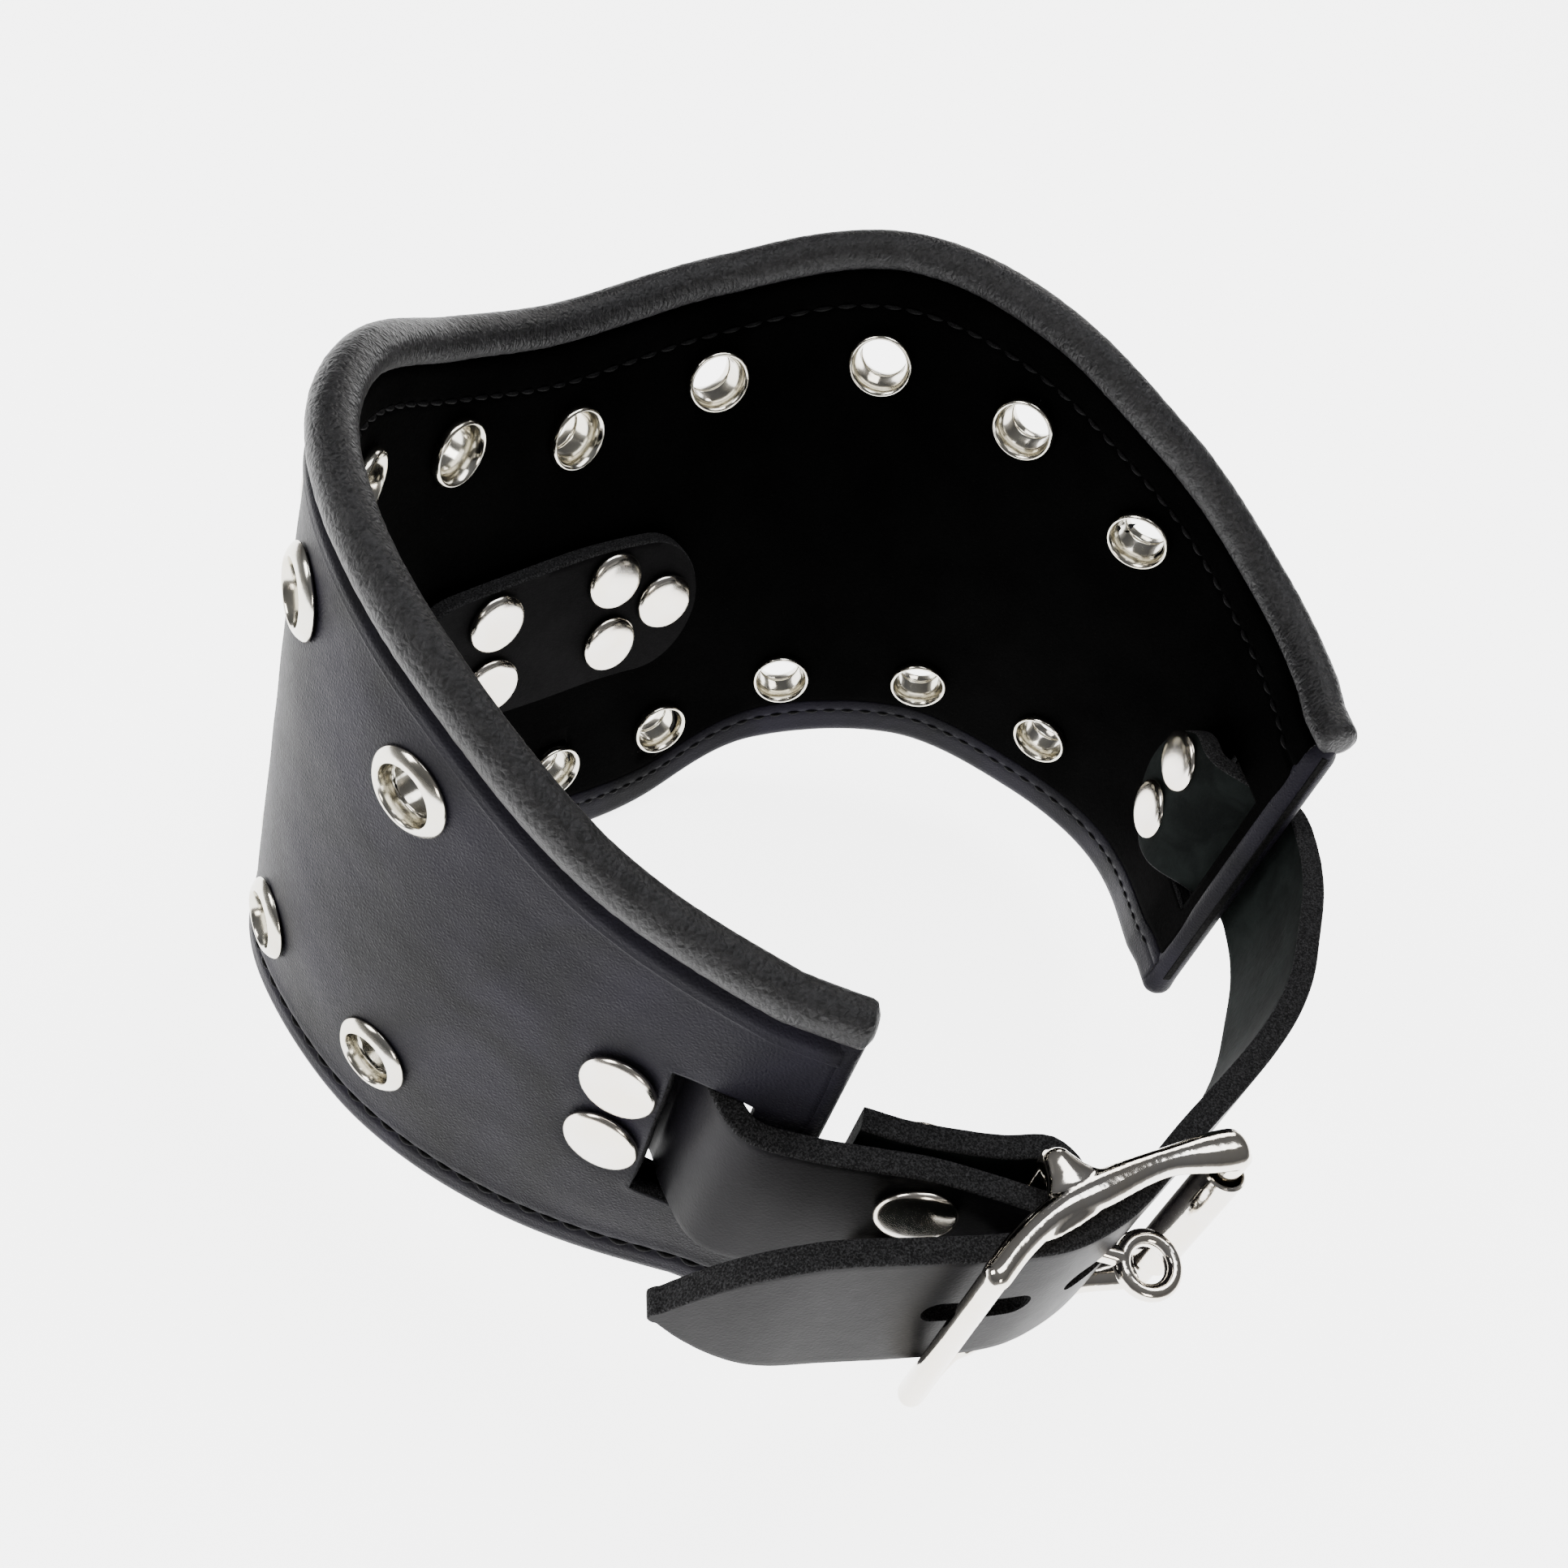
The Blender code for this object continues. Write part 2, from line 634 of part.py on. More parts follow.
def make_frame():
    """Buckle frame: two end bars, two side rails, and the centre bar on its lugs."""
    pivot = (*CENTRE_BAR, STRAP_HEIGHT)
    low = STRAP_HEIGHT - RAIL_HALF
    high = STRAP_HEIGHT + RAIL_HALF
    pieces = []
    for z in (low, high):
        bm = bmesh.new()
        add_rail(bm, z)
        pieces.append(bm)
        bm = bmesh.new()
        lug = [Vector((*CENTRE_BAR, z)), Vector((26.6, 129.0, z)), Vector((26.9, 132.2, z))]
        add_tube(bm, lug, [2.3, 2.6, 4.0], 1.7)
        pieces.append(bm)
    for plan, radius in ((NEAR_BAR, BAR_RADIUS), (CENTRE_BAR, BAR_RADIUS), (FAR_BAR, BAR_RADIUS - 0.1)):
        bm = bmesh.new()
        add_post(bm, plan, low - 0.2, high + 0.2, radius, 12)
        pieces.append(bm)
    frame = finish_mesh(pieces[0], "buckle_frame", nickel("buckle_frame"), pivot)
    for number, bm in enumerate(pieces[1:]):
        apply_boolean(frame, cutter(bm, f"join_frame_{number}"), "UNION", "MANIFOLD")


def make_roller():
    bm = bmesh.new()
    half = ROLLER_LENGTH / 2
    profile = ((ROLLER_BORE, -half), (ROLLER_RADIUS, -half), (ROLLER_RADIUS, half), (ROLLER_BORE, half))
    centre = (*FAR_BAR, STRAP_HEIGHT)
    add_turned(bm, centre, (0, 0, 1), profile, 14)
    finish_mesh(bm, "buckle_roller", nickel("buckle_roller"), centre)


def make_tongue():
    """Locking tongue: a barrel on the centre bar, a short shank and an eye for a small lock."""
    pivot = Vector((*CENTRE_BAR, STRAP_HEIGHT))
    aim = Vector((-0.60, 0.80, 0)).normalized()
    half = TONGUE_HEIGHT / 2
    bm = bmesh.new()
    profile = ((TONGUE_BORE, -half), (TONGUE_BARREL, -half), (TONGUE_BARREL, half), (TONGUE_BORE, half))
    add_turned(bm, pivot, (0, 0, 1), profile, 14)
    tongue = finish_mesh(bm, "buckle_tongue", nickel("buckle_tongue"), pivot)
    bm = bmesh.new()
    shank = [pivot + aim * reach for reach in (3.1, 7.0, 11.0, 14.8)]
    add_tube(bm, shank, [1.5, 1.5, 1.5, 1.3], 1.7)
    apply_boolean(tongue, cutter(bm, "join_shank"), "UNION")
    bm = bmesh.new()
    out = Vector((aim.y, -aim.x, 0))
    tilt = math.radians(EYE_TILT)
    normal = Vector((0, 0, 1)) * math.cos(tilt) + out * math.sin(tilt)
    profile = [(EYE_RADIUS + EYE_WIRE * math.cos(math.pi * k / 4), EYE_WIRE * math.sin(math.pi * k / 4))
               for k in range(8)]
    add_turned(bm, pivot + aim * TONGUE_REACH, normal, profile, 16)
    apply_boolean(tongue, cutter(bm, "join_eye"), "UNION")


def main():
    clear_scene()
    make_wall()
    make_eyelets("top", EYELET_TOP_HEIGHTS)
    make_eyelets("bottom", EYELET_BOTTOM_HEIGHTS)
    make_band()
    make_rivets()
    make_billet()
    make_chape()
    make_frame()
    make_roller()
    make_tongue()


main()
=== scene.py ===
"""Looks for the wide leather neck collar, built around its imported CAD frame.

Shapes are worked out in millimetres from the throat centre, as in the CAD source, and placed in
the frame's metres once, when a mesh is made.
"""

import math

import bmesh
import bpy
from mathutils import Matrix, Vector, noise


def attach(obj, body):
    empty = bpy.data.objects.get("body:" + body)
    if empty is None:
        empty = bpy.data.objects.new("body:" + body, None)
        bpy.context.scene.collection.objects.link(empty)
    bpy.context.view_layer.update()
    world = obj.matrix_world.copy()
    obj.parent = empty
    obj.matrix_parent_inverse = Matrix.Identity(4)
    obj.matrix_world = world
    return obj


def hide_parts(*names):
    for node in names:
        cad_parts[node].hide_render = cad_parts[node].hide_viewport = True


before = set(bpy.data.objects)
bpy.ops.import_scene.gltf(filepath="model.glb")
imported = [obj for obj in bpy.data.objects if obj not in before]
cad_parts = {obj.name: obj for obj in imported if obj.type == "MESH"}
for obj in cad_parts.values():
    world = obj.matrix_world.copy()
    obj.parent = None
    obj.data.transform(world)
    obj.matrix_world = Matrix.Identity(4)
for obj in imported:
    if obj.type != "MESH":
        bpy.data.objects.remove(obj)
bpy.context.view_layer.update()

MM = 0.001

# ---- design dimensions, repeated from the CAD source, in millimetres and degrees ------------
ORIGIN = Vector((-5.325, 67.95, -16.27))  # the frame's origin, from the throat centre
PLAN_STEP = 0.5                  # steps along the wall's middle line seen from above
PLAN_COUNT = 341
TURN_STEP = 27.2                 # how far the wall has turned, at each step from the throat centre
TURN_RIGHT = (0, 20, 51, 60, 81, 126, 124)
TURN_LEFT = (0, 4, 37, 81, 103, 115, 126)
END_RIGHT = 156.5
END_LEFT = -160.0
EDGE_STEP = 25.0                 # heights of both edges, at each step from the throat centre
TOP_HEIGHTS = (82.0, 87.0, 96.5, 97.0, 88.5, 76.0, 70.0)
BOTTOM_HEIGHTS = (-13.7, -12.3, 0.0, 6.0, 2.0, 3.3, 9.2)
LEAN_STEP = 48.4                 # outward lean of the wall, at each step from its left end
LEANS = (1, 0, -2, 10, 5, -10, 1)
LEAN_PIVOT = 41.0
WALL_HALF = 2.35
TOP_ROLL_RADIUS = 3.0
BOTTOM_ROLL_RADIUS = 2.6
EYELET_SPACING = 25.4
EYELET_COLUMNS = 9
EYELET_TOP_HEIGHTS = (64.4, 70.7, 78.6, 79.8, 71.2)
EYELET_BOTTOM_HEIGHTS = (0.0, 2.3, 13.5, 19.8, 18.8)
STRAP_WIDTH = 25.4
STRAP_THICK = 3.4
STRAP_HEIGHT = 38.1
STRAP_CLEAR = 1.1
STRAP_INNER = -(WALL_HALF + STRAP_CLEAR + STRAP_THICK / 2)
RIVET_ARC = 135.5
RIVET_PITCH = 12.2
SLOT_NEAR = 140.9                # arc lengths between which each strap's slot is cut
SLOT_FAR = 151.4
SLOT_HEIGHT = 26.6
BAND_CENTRE = -3.7
BAND_LENGTH = 62.0
BAND_THICK = 2.4
BAND_HEIGHT = 31.9
BAND_PAIR_OFFSET = 12.3
BAND_APEX_OFFSET = 23.7
CENTRE_BAR = (26.0, 126.5)       # plan places of the buckle's three bars
NEAR_BAR = (43.6, 131.8)
FAR_BAR = (4.4, 140.2)
BAR_RADIUS = 2.0
RAIL_HALF = 15.4
ROLLER_LENGTH = 22.6
ROLLER_RADIUS = 2.9
ROLLER_BORE = 2.3
TONGUE_HEIGHT = 5.0
TONGUE_BORE = 2.3
TONGUE_BARREL = 3.9
TONGUE_REACH = 18.4
EYE_RADIUS = 3.5
EYE_WIRE = 1.15
EYE_TILT = 14.0
BILLET_ROUTE = ((-56.2, 115.0), (-49.4, 120.2), (-40.5, 124.9), (-32.9, 128.5), (-25.0, 130.9),
                (-16.0, 132.4), (-6.0, 133.3), (4.0, 134.0), (14.0, 135.0), (22.0, 135.2), (30.0, 133.7),
                (37.0, 130.2), (43.6, 126.0), (51.9, 120.4), (59.0, 115.8), (65.2, 111.0), (70.3, 106.9))
CHAPE_ROUTE = ((48.2, 106.8), (43.6, 111.6), (37.6, 117.6), (33.0, 123.6))
FOLD_DIRECTION = (-0.66, 0.75)
TAIL_ROUTE = ((27.5, 120.9), (32.6, 116.2), (36.6, 112.0), (39.8, 107.6))
BILLET_SLOTS = (((19.2, 135.2), (-1, 0)), ((37.4, 129.9), (-0.84, 0.54)))
BILLET_SLOT_SIZE = (14.5, 4.6)
TIP_LENGTH = 20.0
RAIL_ROUTE = ((43.6, 131.8), (38.0, 131.0), (31.5, 131.0), (25.0, 132.2), (14.5, 134.9), (4.4, 139.4))
FOLD_RIVET_PLACE = (36.2, 116.0)
FOLD_RIVET_RUN = (-0.70, 0.71)
TONGUE_AIM = (-0.60, 0.80)

# ---- detail that only the looks need, millimetres ------------
CELL = 0.8                       # grid step of the leather sheets
OUTER_THICK = 1.9
LINING_THICK = 1.0
FOLD_RADIUS = BOTTOM_ROLL_RADIUS + 0.02  # the outer leather's face round the bottom edge
FOLD_STEPS = 10
FLANGE = 6.0                     # the top roll's sewn flange, below the edge curve
STITCH_PITCH = 3.3
STITCH_LENGTH = 2.7
SEAM_MARGIN = 3.5                # between a seam and the wall's ends
THREAD_RADIUS = 0.36
BOTTOM_STITCH = 3.0              # heights of the seams from their edges
INNER_STITCH = 3.8
TOP_STITCH = 8.2
HOLE_RADIUS = 4.6
HOLE_SNAP = 0.6                  # grid points this near a hole's edge move onto it
NO_HEIGHT = -99.0                # height given to grid points that no slot may take
END_FOLD = 2.2                   # the turned leather round the wall's ends
ROLL_END = 1.3                   # rounding of the top roll's ends
BAND_END = 11.0                  # length of the band's rounded ends
BAND_BEVEL = 0.35
ANCHOR_END = 10.0                # length of a strap's rounded end inside the wall
STRAP_BEVEL = 0.42
STRAP_ROWS = 24                  # facets across a strap's face, and round its cut edge
EDGE_ROWS = 12
LUG_ROUTE = (CENTRE_BAR, (26.3, 128.2), (26.6, 129.8), (26.8, 131.2), (26.9, 132.6))
FOLD_SEAT = 4.35                 # from the middle of the chape's fold to its rivets' caps
END_ANGLES = (0.35, 0.75, 1.15, 1.45)  # radians round a swept oval's rounded end
ROLLER_LIP = 0.25
ROLLER_SEAM = -120.0             # where the rolled tube's edges meet, and half the gap, degrees
ROLLER_GAP = 5.0

# ---- camera, in millimetres of the frame, floor and surroundings ------------
CAMERA_PLACE = (157.815, 82.05, 224.91)
CAMERA_RIGHT = (-0.69631, 0.67007, 0.25722)
CAMERA_UP = (-0.36118, -0.63682, 0.68118)
CAMERA_LENS = 37.27
FLOOR_DROP = 0.0002              # metres
FLOOR_GLOW = 4.5
SKY_STOPS = ((0.0, (0.9, 0.9, 0.9)), (0.1, (0.42, 0.41, 0.4)), (0.35, (0.12, 0.12, 0.125)),
             (1.0, (0.2, 0.2, 0.205)))


# ---- curves, as in the CAD source ------------
def catmull(p0, p1, p2, p3, t):
    return 0.5 * (2 * p1 + (p2 - p0) * t + (2 * p0 - 5 * p1 + 4 * p2 - p3) * t * t
                  + (3 * p1 - p0 - 3 * p2 + p3) * t ** 3)


def smooth_value(values, step, at, mirrored=False):
    """Catmull-Rom value at distance `at` along evenly spaced control values."""
    last = len(values) - 1
    place = min(max(at / step, 0.0), last - 1e-6)
    i = int(place)
    p1 = values[i]
    p2 = values[i + 1]
    start = p2 if mirrored else 2 * p1 - p2
    p0 = values[i - 1] if i > 0 else start
    p3 = values[i + 2] if i + 2 <= last else 2 * p2 - p1
    return catmull(p0, p1, p2, p3, place - i)


def heading(arc):
    """Direction of the wall seen from above, at an arc length from the throat centre."""
    if arc >= 0:
        return math.radians(180 - smooth_value(TURN_RIGHT, TURN_STEP, arc))
    return math.radians(180 + smooth_value(TURN_LEFT, TURN_STEP, -arc))


def make_plan():
    """Points of the wall's middle line seen from above, on both sides of the throat centre."""
    plan = {0: (0.0, 0.0)}
    for side in (1, -1):
        x, y = 0.0, 0.0
        for i in range(1, PLAN_COUNT):
            angle = heading(side * (i - 0.5) * PLAN_STEP)
            x += side * PLAN_STEP * math.cos(angle)
            y += side * PLAN_STEP * math.sin(angle)
            plan[side * i] = (x, y)
    return plan


PLAN = make_plan()


def plan_point(arc, out=0.0):
    """Plan position at an arc length along the wall, moved outwards by `out`."""
    place = arc / PLAN_STEP
    i = math.floor(place)
    t = place - i
    x = PLAN[i][0] * (1 - t) + PLAN[i + 1][0] * t
    y = PLAN[i][1] * (1 - t) + PLAN[i + 1][1] * t
    angle = heading(arc)
    return x - math.sin(angle) * out, y + math.cos(angle) * out


def lean(arc):
    """How far the wall leans outwards for each millimetre of height."""
    half = LEAN_STEP * (len(LEANS) - 1) / 2
    return math.tan(math.radians(smooth_value(LEANS, LEAN_STEP, arc + half)))


def wall_point(arc, out, z):
    x, y = plan_point(arc, out + lean(arc) * (z - LEAN_PIVOT))
    return Vector((x, y, z))


def wall_normal(arc, z):
    along = wall_point(arc + 0.5, 0, z) - wall_point(arc - 0.5, 0, z)
    upward = wall_point(arc, 0, z + 0.5) - wall_point(arc, 0, z - 0.5)
    return upward.cross(along).normalized()


def top_edge(arc):
    return smooth_value(TOP_HEIGHTS, EDGE_STEP, abs(arc), True)


def bottom_edge(arc):
    return smooth_value(BOTTOM_HEIGHTS, EDGE_STEP, abs(arc), True)


def spline(points, spacing):
    """Smooth curve through points, with a point about every `spacing`."""
    result = []
    last = len(points) - 1
    for i in range(last):
        p1 = Vector(points[i])
        p2 = Vector(points[i + 1])
        p0 = Vector(points[i - 1]) if i > 0 else 2 * p1 - p2
        p3 = Vector(points[i + 2]) if i + 2 <= last else 2 * p2 - p1
        count = max(1, round((p2 - p1).length / spacing))
        result += [catmull(p0, p1, p2, p3, k / count) for k in range(count)]
    result.append(Vector(points[last]))
    return result


def spread(start, end, step):
    """Evenly spaced values from start up to, but not including, end."""
    count = max(1, round(abs(end - start) / step))
    return [start + (end - start) * i / count for i in range(count)]


def bump(distance, width):
    """Smooth bell of height 1 about distance 0."""
    return math.exp(-(distance / width) ** 2)


def ramp(value, low, high):
    """Smooth step from 0 at `low` to 1 at `high`."""
    t = min(max((value - low) / (high - low), 0.0), 1.0)
    return t * t * (3 - 2 * t)


# ---- materials ------------
def set_stops(colour_ramp, stops):
    """Fill a colour ramp from (position, colour) stops."""
    elements = colour_ramp.elements
    while len(elements) < len(stops):
        elements.new(0.5)
    for element, (position, colour) in zip(elements, stops):
        element.position = position
        element.color = (*colour, 1.0)


class Material:
    """A Principled material with short helpers for its procedural nodes."""

    def __init__(self, name, colour, roughness, metallic=0.0, specular=0.5):
        self.material = bpy.data.materials.new(name)
        self.material.use_nodes = True
        self.tree = self.material.node_tree
        self.shader = self.tree.nodes["Principled BSDF"]
        self.set("Base Color", (*colour, 1.0))
        self.set("Roughness", roughness)
        self.set("Metallic", metallic)
        self.set("Specular IOR Level", specular)
        self.coordinates = self.node("ShaderNodeTexCoord").outputs["Object"]
        self.normal = None

    def set(self, socket, value):
        self.shader.inputs[socket].default_value = value

    def node(self, kind, **settings):
        made = self.tree.nodes.new(kind)
        for key, value in settings.items():
            setattr(made, key, value)
        return made

    def link(self, source, target):
        self.tree.links.new(source, target)

    def stretched(self, scale):
        mapping = self.node("ShaderNodeMapping")
        mapping.inputs["Scale"].default_value = scale
        self.link(self.coordinates, mapping.inputs["Vector"])
        return mapping.outputs["Vector"]

    def noise(self, size, detail=3.0, distortion=0.0, stretch=None):
        """Noise whose features are about `size` millimetres across."""
        made = self.node("ShaderNodeTexNoise")
        made.inputs["Scale"].default_value = 1000.0 / size
        made.inputs["Detail"].default_value = detail
        made.inputs["Distortion"].default_value = distortion
        self.link(self.stretched(stretch) if stretch else self.coordinates, made.inputs["Vector"])
        return made.outputs["Fac"]

    def cells(self, size, feature="F1", stretch=None, warp=0.0):
        """Cell pattern with cells about `size` millimetres across."""
        made = self.node("ShaderNodeTexVoronoi", feature=feature)
        made.inputs["Scale"].default_value = 1000.0 / size
        vector = self.stretched(stretch) if stretch else self.coordinates
        if warp:
            wobble = self.node("ShaderNodeTexNoise")
            wobble.inputs["Scale"].default_value = 400.0 / size
            self.link(vector, wobble.inputs["Vector"])
            mix = self.node("ShaderNodeVectorMath", operation="MULTIPLY_ADD")
            mix.inputs[1].default_value = (warp * MM,) * 3
            self.link(wobble.outputs["Color"], mix.inputs[0])
            self.link(vector, mix.inputs[2])
            vector = mix.outputs["Vector"]
        self.link(vector, made.inputs["Vector"])
        return made.outputs["Distance"]

    def graded(self, source, stops):
        """Colour ramp from (position, colour) stops."""
        made = self.node("ShaderNodeValToRGB")
        set_stops(made.color_ramp, stops)
        self.link(source, made.inputs["Fac"])
        return made.outputs["Color"]

    def colour(self, source, dark, light, low=0.35, high=0.65):
        self.link(self.graded(source, ((low, dark), (high, light))), self.shader.inputs["Base Color"])

    def roughness(self, source, low, high):
        made = self.node("ShaderNodeMapRange")
        made.inputs["To Min"].default_value = low
        made.inputs["To Max"].default_value = high
        self.link(source, made.inputs["Value"])
        self.link(made.outputs["Result"], self.shader.inputs["Roughness"])

    def relief(self, source, height, strength=1.0):
        """Bump of `height` millimetres; several stack up."""
        made = self.node("ShaderNodeBump")
        made.inputs["Strength"].default_value = strength
        made.inputs["Distance"].default_value = height * MM
        self.link(source, made.inputs["Height"])
        if self.normal:
            self.link(self.normal, made.inputs["Normal"])
        self.normal = made.outputs["Normal"]
        self.link(self.normal, self.shader.inputs["Normal"])

def outer_leather_material():
    made = Material("grained_leather", (0.006, 0.006, 0.0075), 0.45, specular=0.033)
    made.colour(made.noise(24, 3, 0.6), (0.0042, 0.0042, 0.0048), (0.0088, 0.0081, 0.0122))
    made.roughness(made.noise(1.4, 4), 0.4, 0.52)
    made.relief(made.noise(9, 2), 0.35, 0.35)
    made.relief(made.cells(0.62, "DISTANCE_TO_EDGE", warp=0.5), 0.16, 0.55)
    made.relief(made.noise(0.28, 4), 0.1, 0.45)
    return made.material


def roll_leather_material():
    made = Material("roll_leather", (0.008, 0.008, 0.0085), 0.4, specular=0.2)
    made.colour(made.noise(1.1, 5, 1.2), (0.0045, 0.0045, 0.0048), (0.015, 0.0147, 0.0158))
    made.roughness(made.noise(0.8, 4), 0.34, 0.54)
    made.relief(made.noise(3.0, 2, 0.8), 0.5, 0.4)
    made.relief(made.cells(0.85, "DISTANCE_TO_EDGE", (1.0, 1.0, 0.6), 0.9), 0.3, 0.8)
    made.relief(made.noise(0.3, 5, 0.5), 0.16, 0.7)
    return made.material


def lining_material():
    made = Material("lining_leather", (0.0004, 0.0004, 0.0004), 0.85, specular=0.01)
    made.colour(made.noise(14, 4), (0.0002, 0.0002, 0.0002), (0.0007, 0.0007, 0.0007))
    made.roughness(made.noise(0.6, 4), 0.75, 0.95)
    made.relief(made.noise(0.5, 5), 0.15, 0.5)
    return made.material


def band_material():
    made = Material("band_leather", (0.0024, 0.0024, 0.0025), 0.65, specular=0.02)
    made.colour(made.noise(6, 4), (0.0018, 0.0018, 0.0019), (0.0031, 0.003, 0.0032))
    made.roughness(made.noise(0.9, 4), 0.6, 0.76)
    made.relief(made.cells(0.5, "DISTANCE_TO_EDGE", warp=0.4), 0.1, 0.4)
    made.relief(made.noise(0.4, 4), 0.1, 0.4)
    return made.material


def strap_face_material():
    made = Material("strap_grain", (0.0052, 0.0051, 0.0055), 0.38, specular=0.03)
    made.colour(made.noise(30, 3, 0.5), (0.0032, 0.0032, 0.0035), (0.0062, 0.0057, 0.0074))
    made.roughness(made.noise(2.2, 5), 0.34, 0.44)
    made.relief(made.noise(0.45, 4), 0.06, 0.3)
    made.relief(made.cells(0.4, "F1", warp=0.3), 0.04, 0.25)
    return made.material


def strap_flesh_material():
    made = Material("strap_flesh", (0.003, 0.004, 0.0037), 0.8, specular=0.02)
    made.colour(made.noise(7, 5, 0.8), (0.0034, 0.0042, 0.004), (0.0068, 0.0086, 0.0081))
    made.roughness(made.noise(1.2, 4), 0.7, 0.9)
    made.relief(made.noise(0.7, 5, 0.6, (1.0, 1.0, 0.5)), 0.18, 0.5)
    return made.material


def cut_edge_material():
    made = Material("cut_leather_edge", (0.005, 0.005, 0.005), 0.9, specular=0.04)
    fibres = made.noise(0.24, 5, 0.4)
    made.colour(fibres, (0.009, 0.009, 0.0093), (0.052, 0.052, 0.054), 0.42, 0.78)
    made.roughness(made.noise(0.5, 3), 0.8, 0.98)
    made.relief(fibres, 0.5, 0.9)
    made.relief(made.cells(0.4), 0.25, 0.6)
    return made.material


def stiffener_material():
    made = Material("stiffener_board", (0.004, 0.004, 0.004), 0.9, specular=0.03)
    made.colour(made.noise(0.5, 4), (0.002, 0.002, 0.002), (0.006, 0.006, 0.0058))
    made.relief(made.noise(0.4, 4), 0.2, 0.6)
    return made.material


def thread_material():
    made = Material("waxed_thread", (0.002, 0.002, 0.0022), 0.55, specular=0.05)
    made.colour(made.noise(0.3, 3), (0.0012, 0.0012, 0.0013), (0.0035, 0.0035, 0.0038))
    made.relief(made.cells(0.25, "F1", (1.0, 1.0, 0.5)), 0.1, 0.7)
    return made.material


def nickel_material(name, colour, low, high, waves):
    made = Material(name, colour, 0.1, 1.0)
    warm = (colour[0] * 0.97, colour[1] * 0.94, colour[2] * 0.88)
    made.colour(made.noise(5, 3), warm, colour)
    made.roughness(made.noise(0.7, 5), low, high)
    made.relief(made.noise(2.4, 2), waves, 0.5)
    made.relief(made.noise(0.22, 4), 0.006, 0.5)
    return made.material


MATERIALS = {
    "outer": outer_leather_material(),
    "roll": roll_leather_material(),
    "lining": lining_material(),
    "band": band_material(),
    "face": strap_face_material(),
    "flesh": strap_flesh_material(),
    "edge": cut_edge_material(),
    "board": stiffener_material(),
    "thread": thread_material(),
    "cap": nickel_material("rivet_nickel", (0.70, 0.67, 0.62), 0.12, 0.22, 0.03),
    "eyelet": nickel_material("eyelet_nickel", (0.60, 0.585, 0.53), 0.1, 0.2, 0.05),
    "cast": nickel_material("cast_nickel", (0.70, 0.67, 0.62), 0.06, 0.13, 0.12),
}


# ---- mesh building ------------
def as_object(bm, name, keys, smooth=50):
    """Object in the frame's metres from a bmesh in millimetres from the throat centre."""
    for vert in bm.verts:
        vert.co = (vert.co - ORIGIN) * MM
    mesh = bpy.data.meshes.new(name)
    bm.to_mesh(mesh)
    bm.free()
    mesh.shade_smooth()
    mesh.set_sharp_from_angle(angle=math.radians(smooth))
    for key in keys:
        mesh.materials.append(MATERIALS[key])
    obj = bpy.data.objects.new(name, mesh)
    bpy.context.scene.collection.objects.link(obj)
    return obj


def as_solid(bm, name, keys, smooth=50):
    """As as_object, for a closed body whose faces are first turned to face outwards."""
    bmesh.ops.recalc_face_normals(bm, faces=bm.faces)
    return as_object(bm, name, keys, smooth)


def settle(obj, slot, *nodes, body="root"):
    """The piece rides on its body and stands for its CAD nodes."""
    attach(obj, body)
    if nodes:
        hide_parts(*nodes)


def bake_modifiers(obj):
    """Replace an object's mesh by what its modifiers make of it."""
    graph = bpy.context.evaluated_depsgraph_get()
    mesh = bpy.data.meshes.new_from_object(obj.evaluated_get(graph))
    obj.modifiers.clear()
    obj.data = mesh


def add_rings(bm, rings, materials=None):
    """Join rings of equal size, with a cap at each end."""
    rows = [[bm.verts.new(point) for point in ring] for ring in rings]
    size = len(rows[0])
    for a, b in zip(rows, rows[1:]):
        for k in range(size):
            face = bm.faces.new((a[k], a[(k + 1) % size], b[(k + 1) % size], b[k]))
            if materials:
                face.material_index = materials[k]
    for cap in (bm.faces.new(list(reversed(rows[0]))), bm.faces.new(rows[-1])):
        if materials:
            cap.material_index = max(materials)


def add_turned(bm, centre, axis, section, sides, closed=False):
    """Turn a section of (radius, height) about an axis; open sections start and end on it."""
    axis = Vector(axis).normalized()
    side = axis.cross(Vector((0, 0, 1)) if abs(axis.z) < 0.9 else Vector((1, 0, 0))).normalized()
    other = axis.cross(side)
    rows = []
    for radius, height in section:
        base = Vector(centre) + axis * height
        if radius < 1e-6:
            rows.append([bm.verts.new(base)])
            continue
        angles = [2 * math.pi * k / sides for k in range(sides)]
        rows.append([bm.verts.new(base + (side * math.cos(a) + other * math.sin(a)) * radius)
                     for a in angles])
    pairs = list(zip(rows, rows[1:]))
    if closed:
        pairs.append((rows[-1], rows[0]))
    for a, b in pairs:
        for k in range(sides):
            n = (k + 1) % sides
            corners = [a[k % len(a)], a[n % len(a)], b[n % len(b)], b[k % len(b)]]
            bm.faces.new(list(dict.fromkeys(corners)))


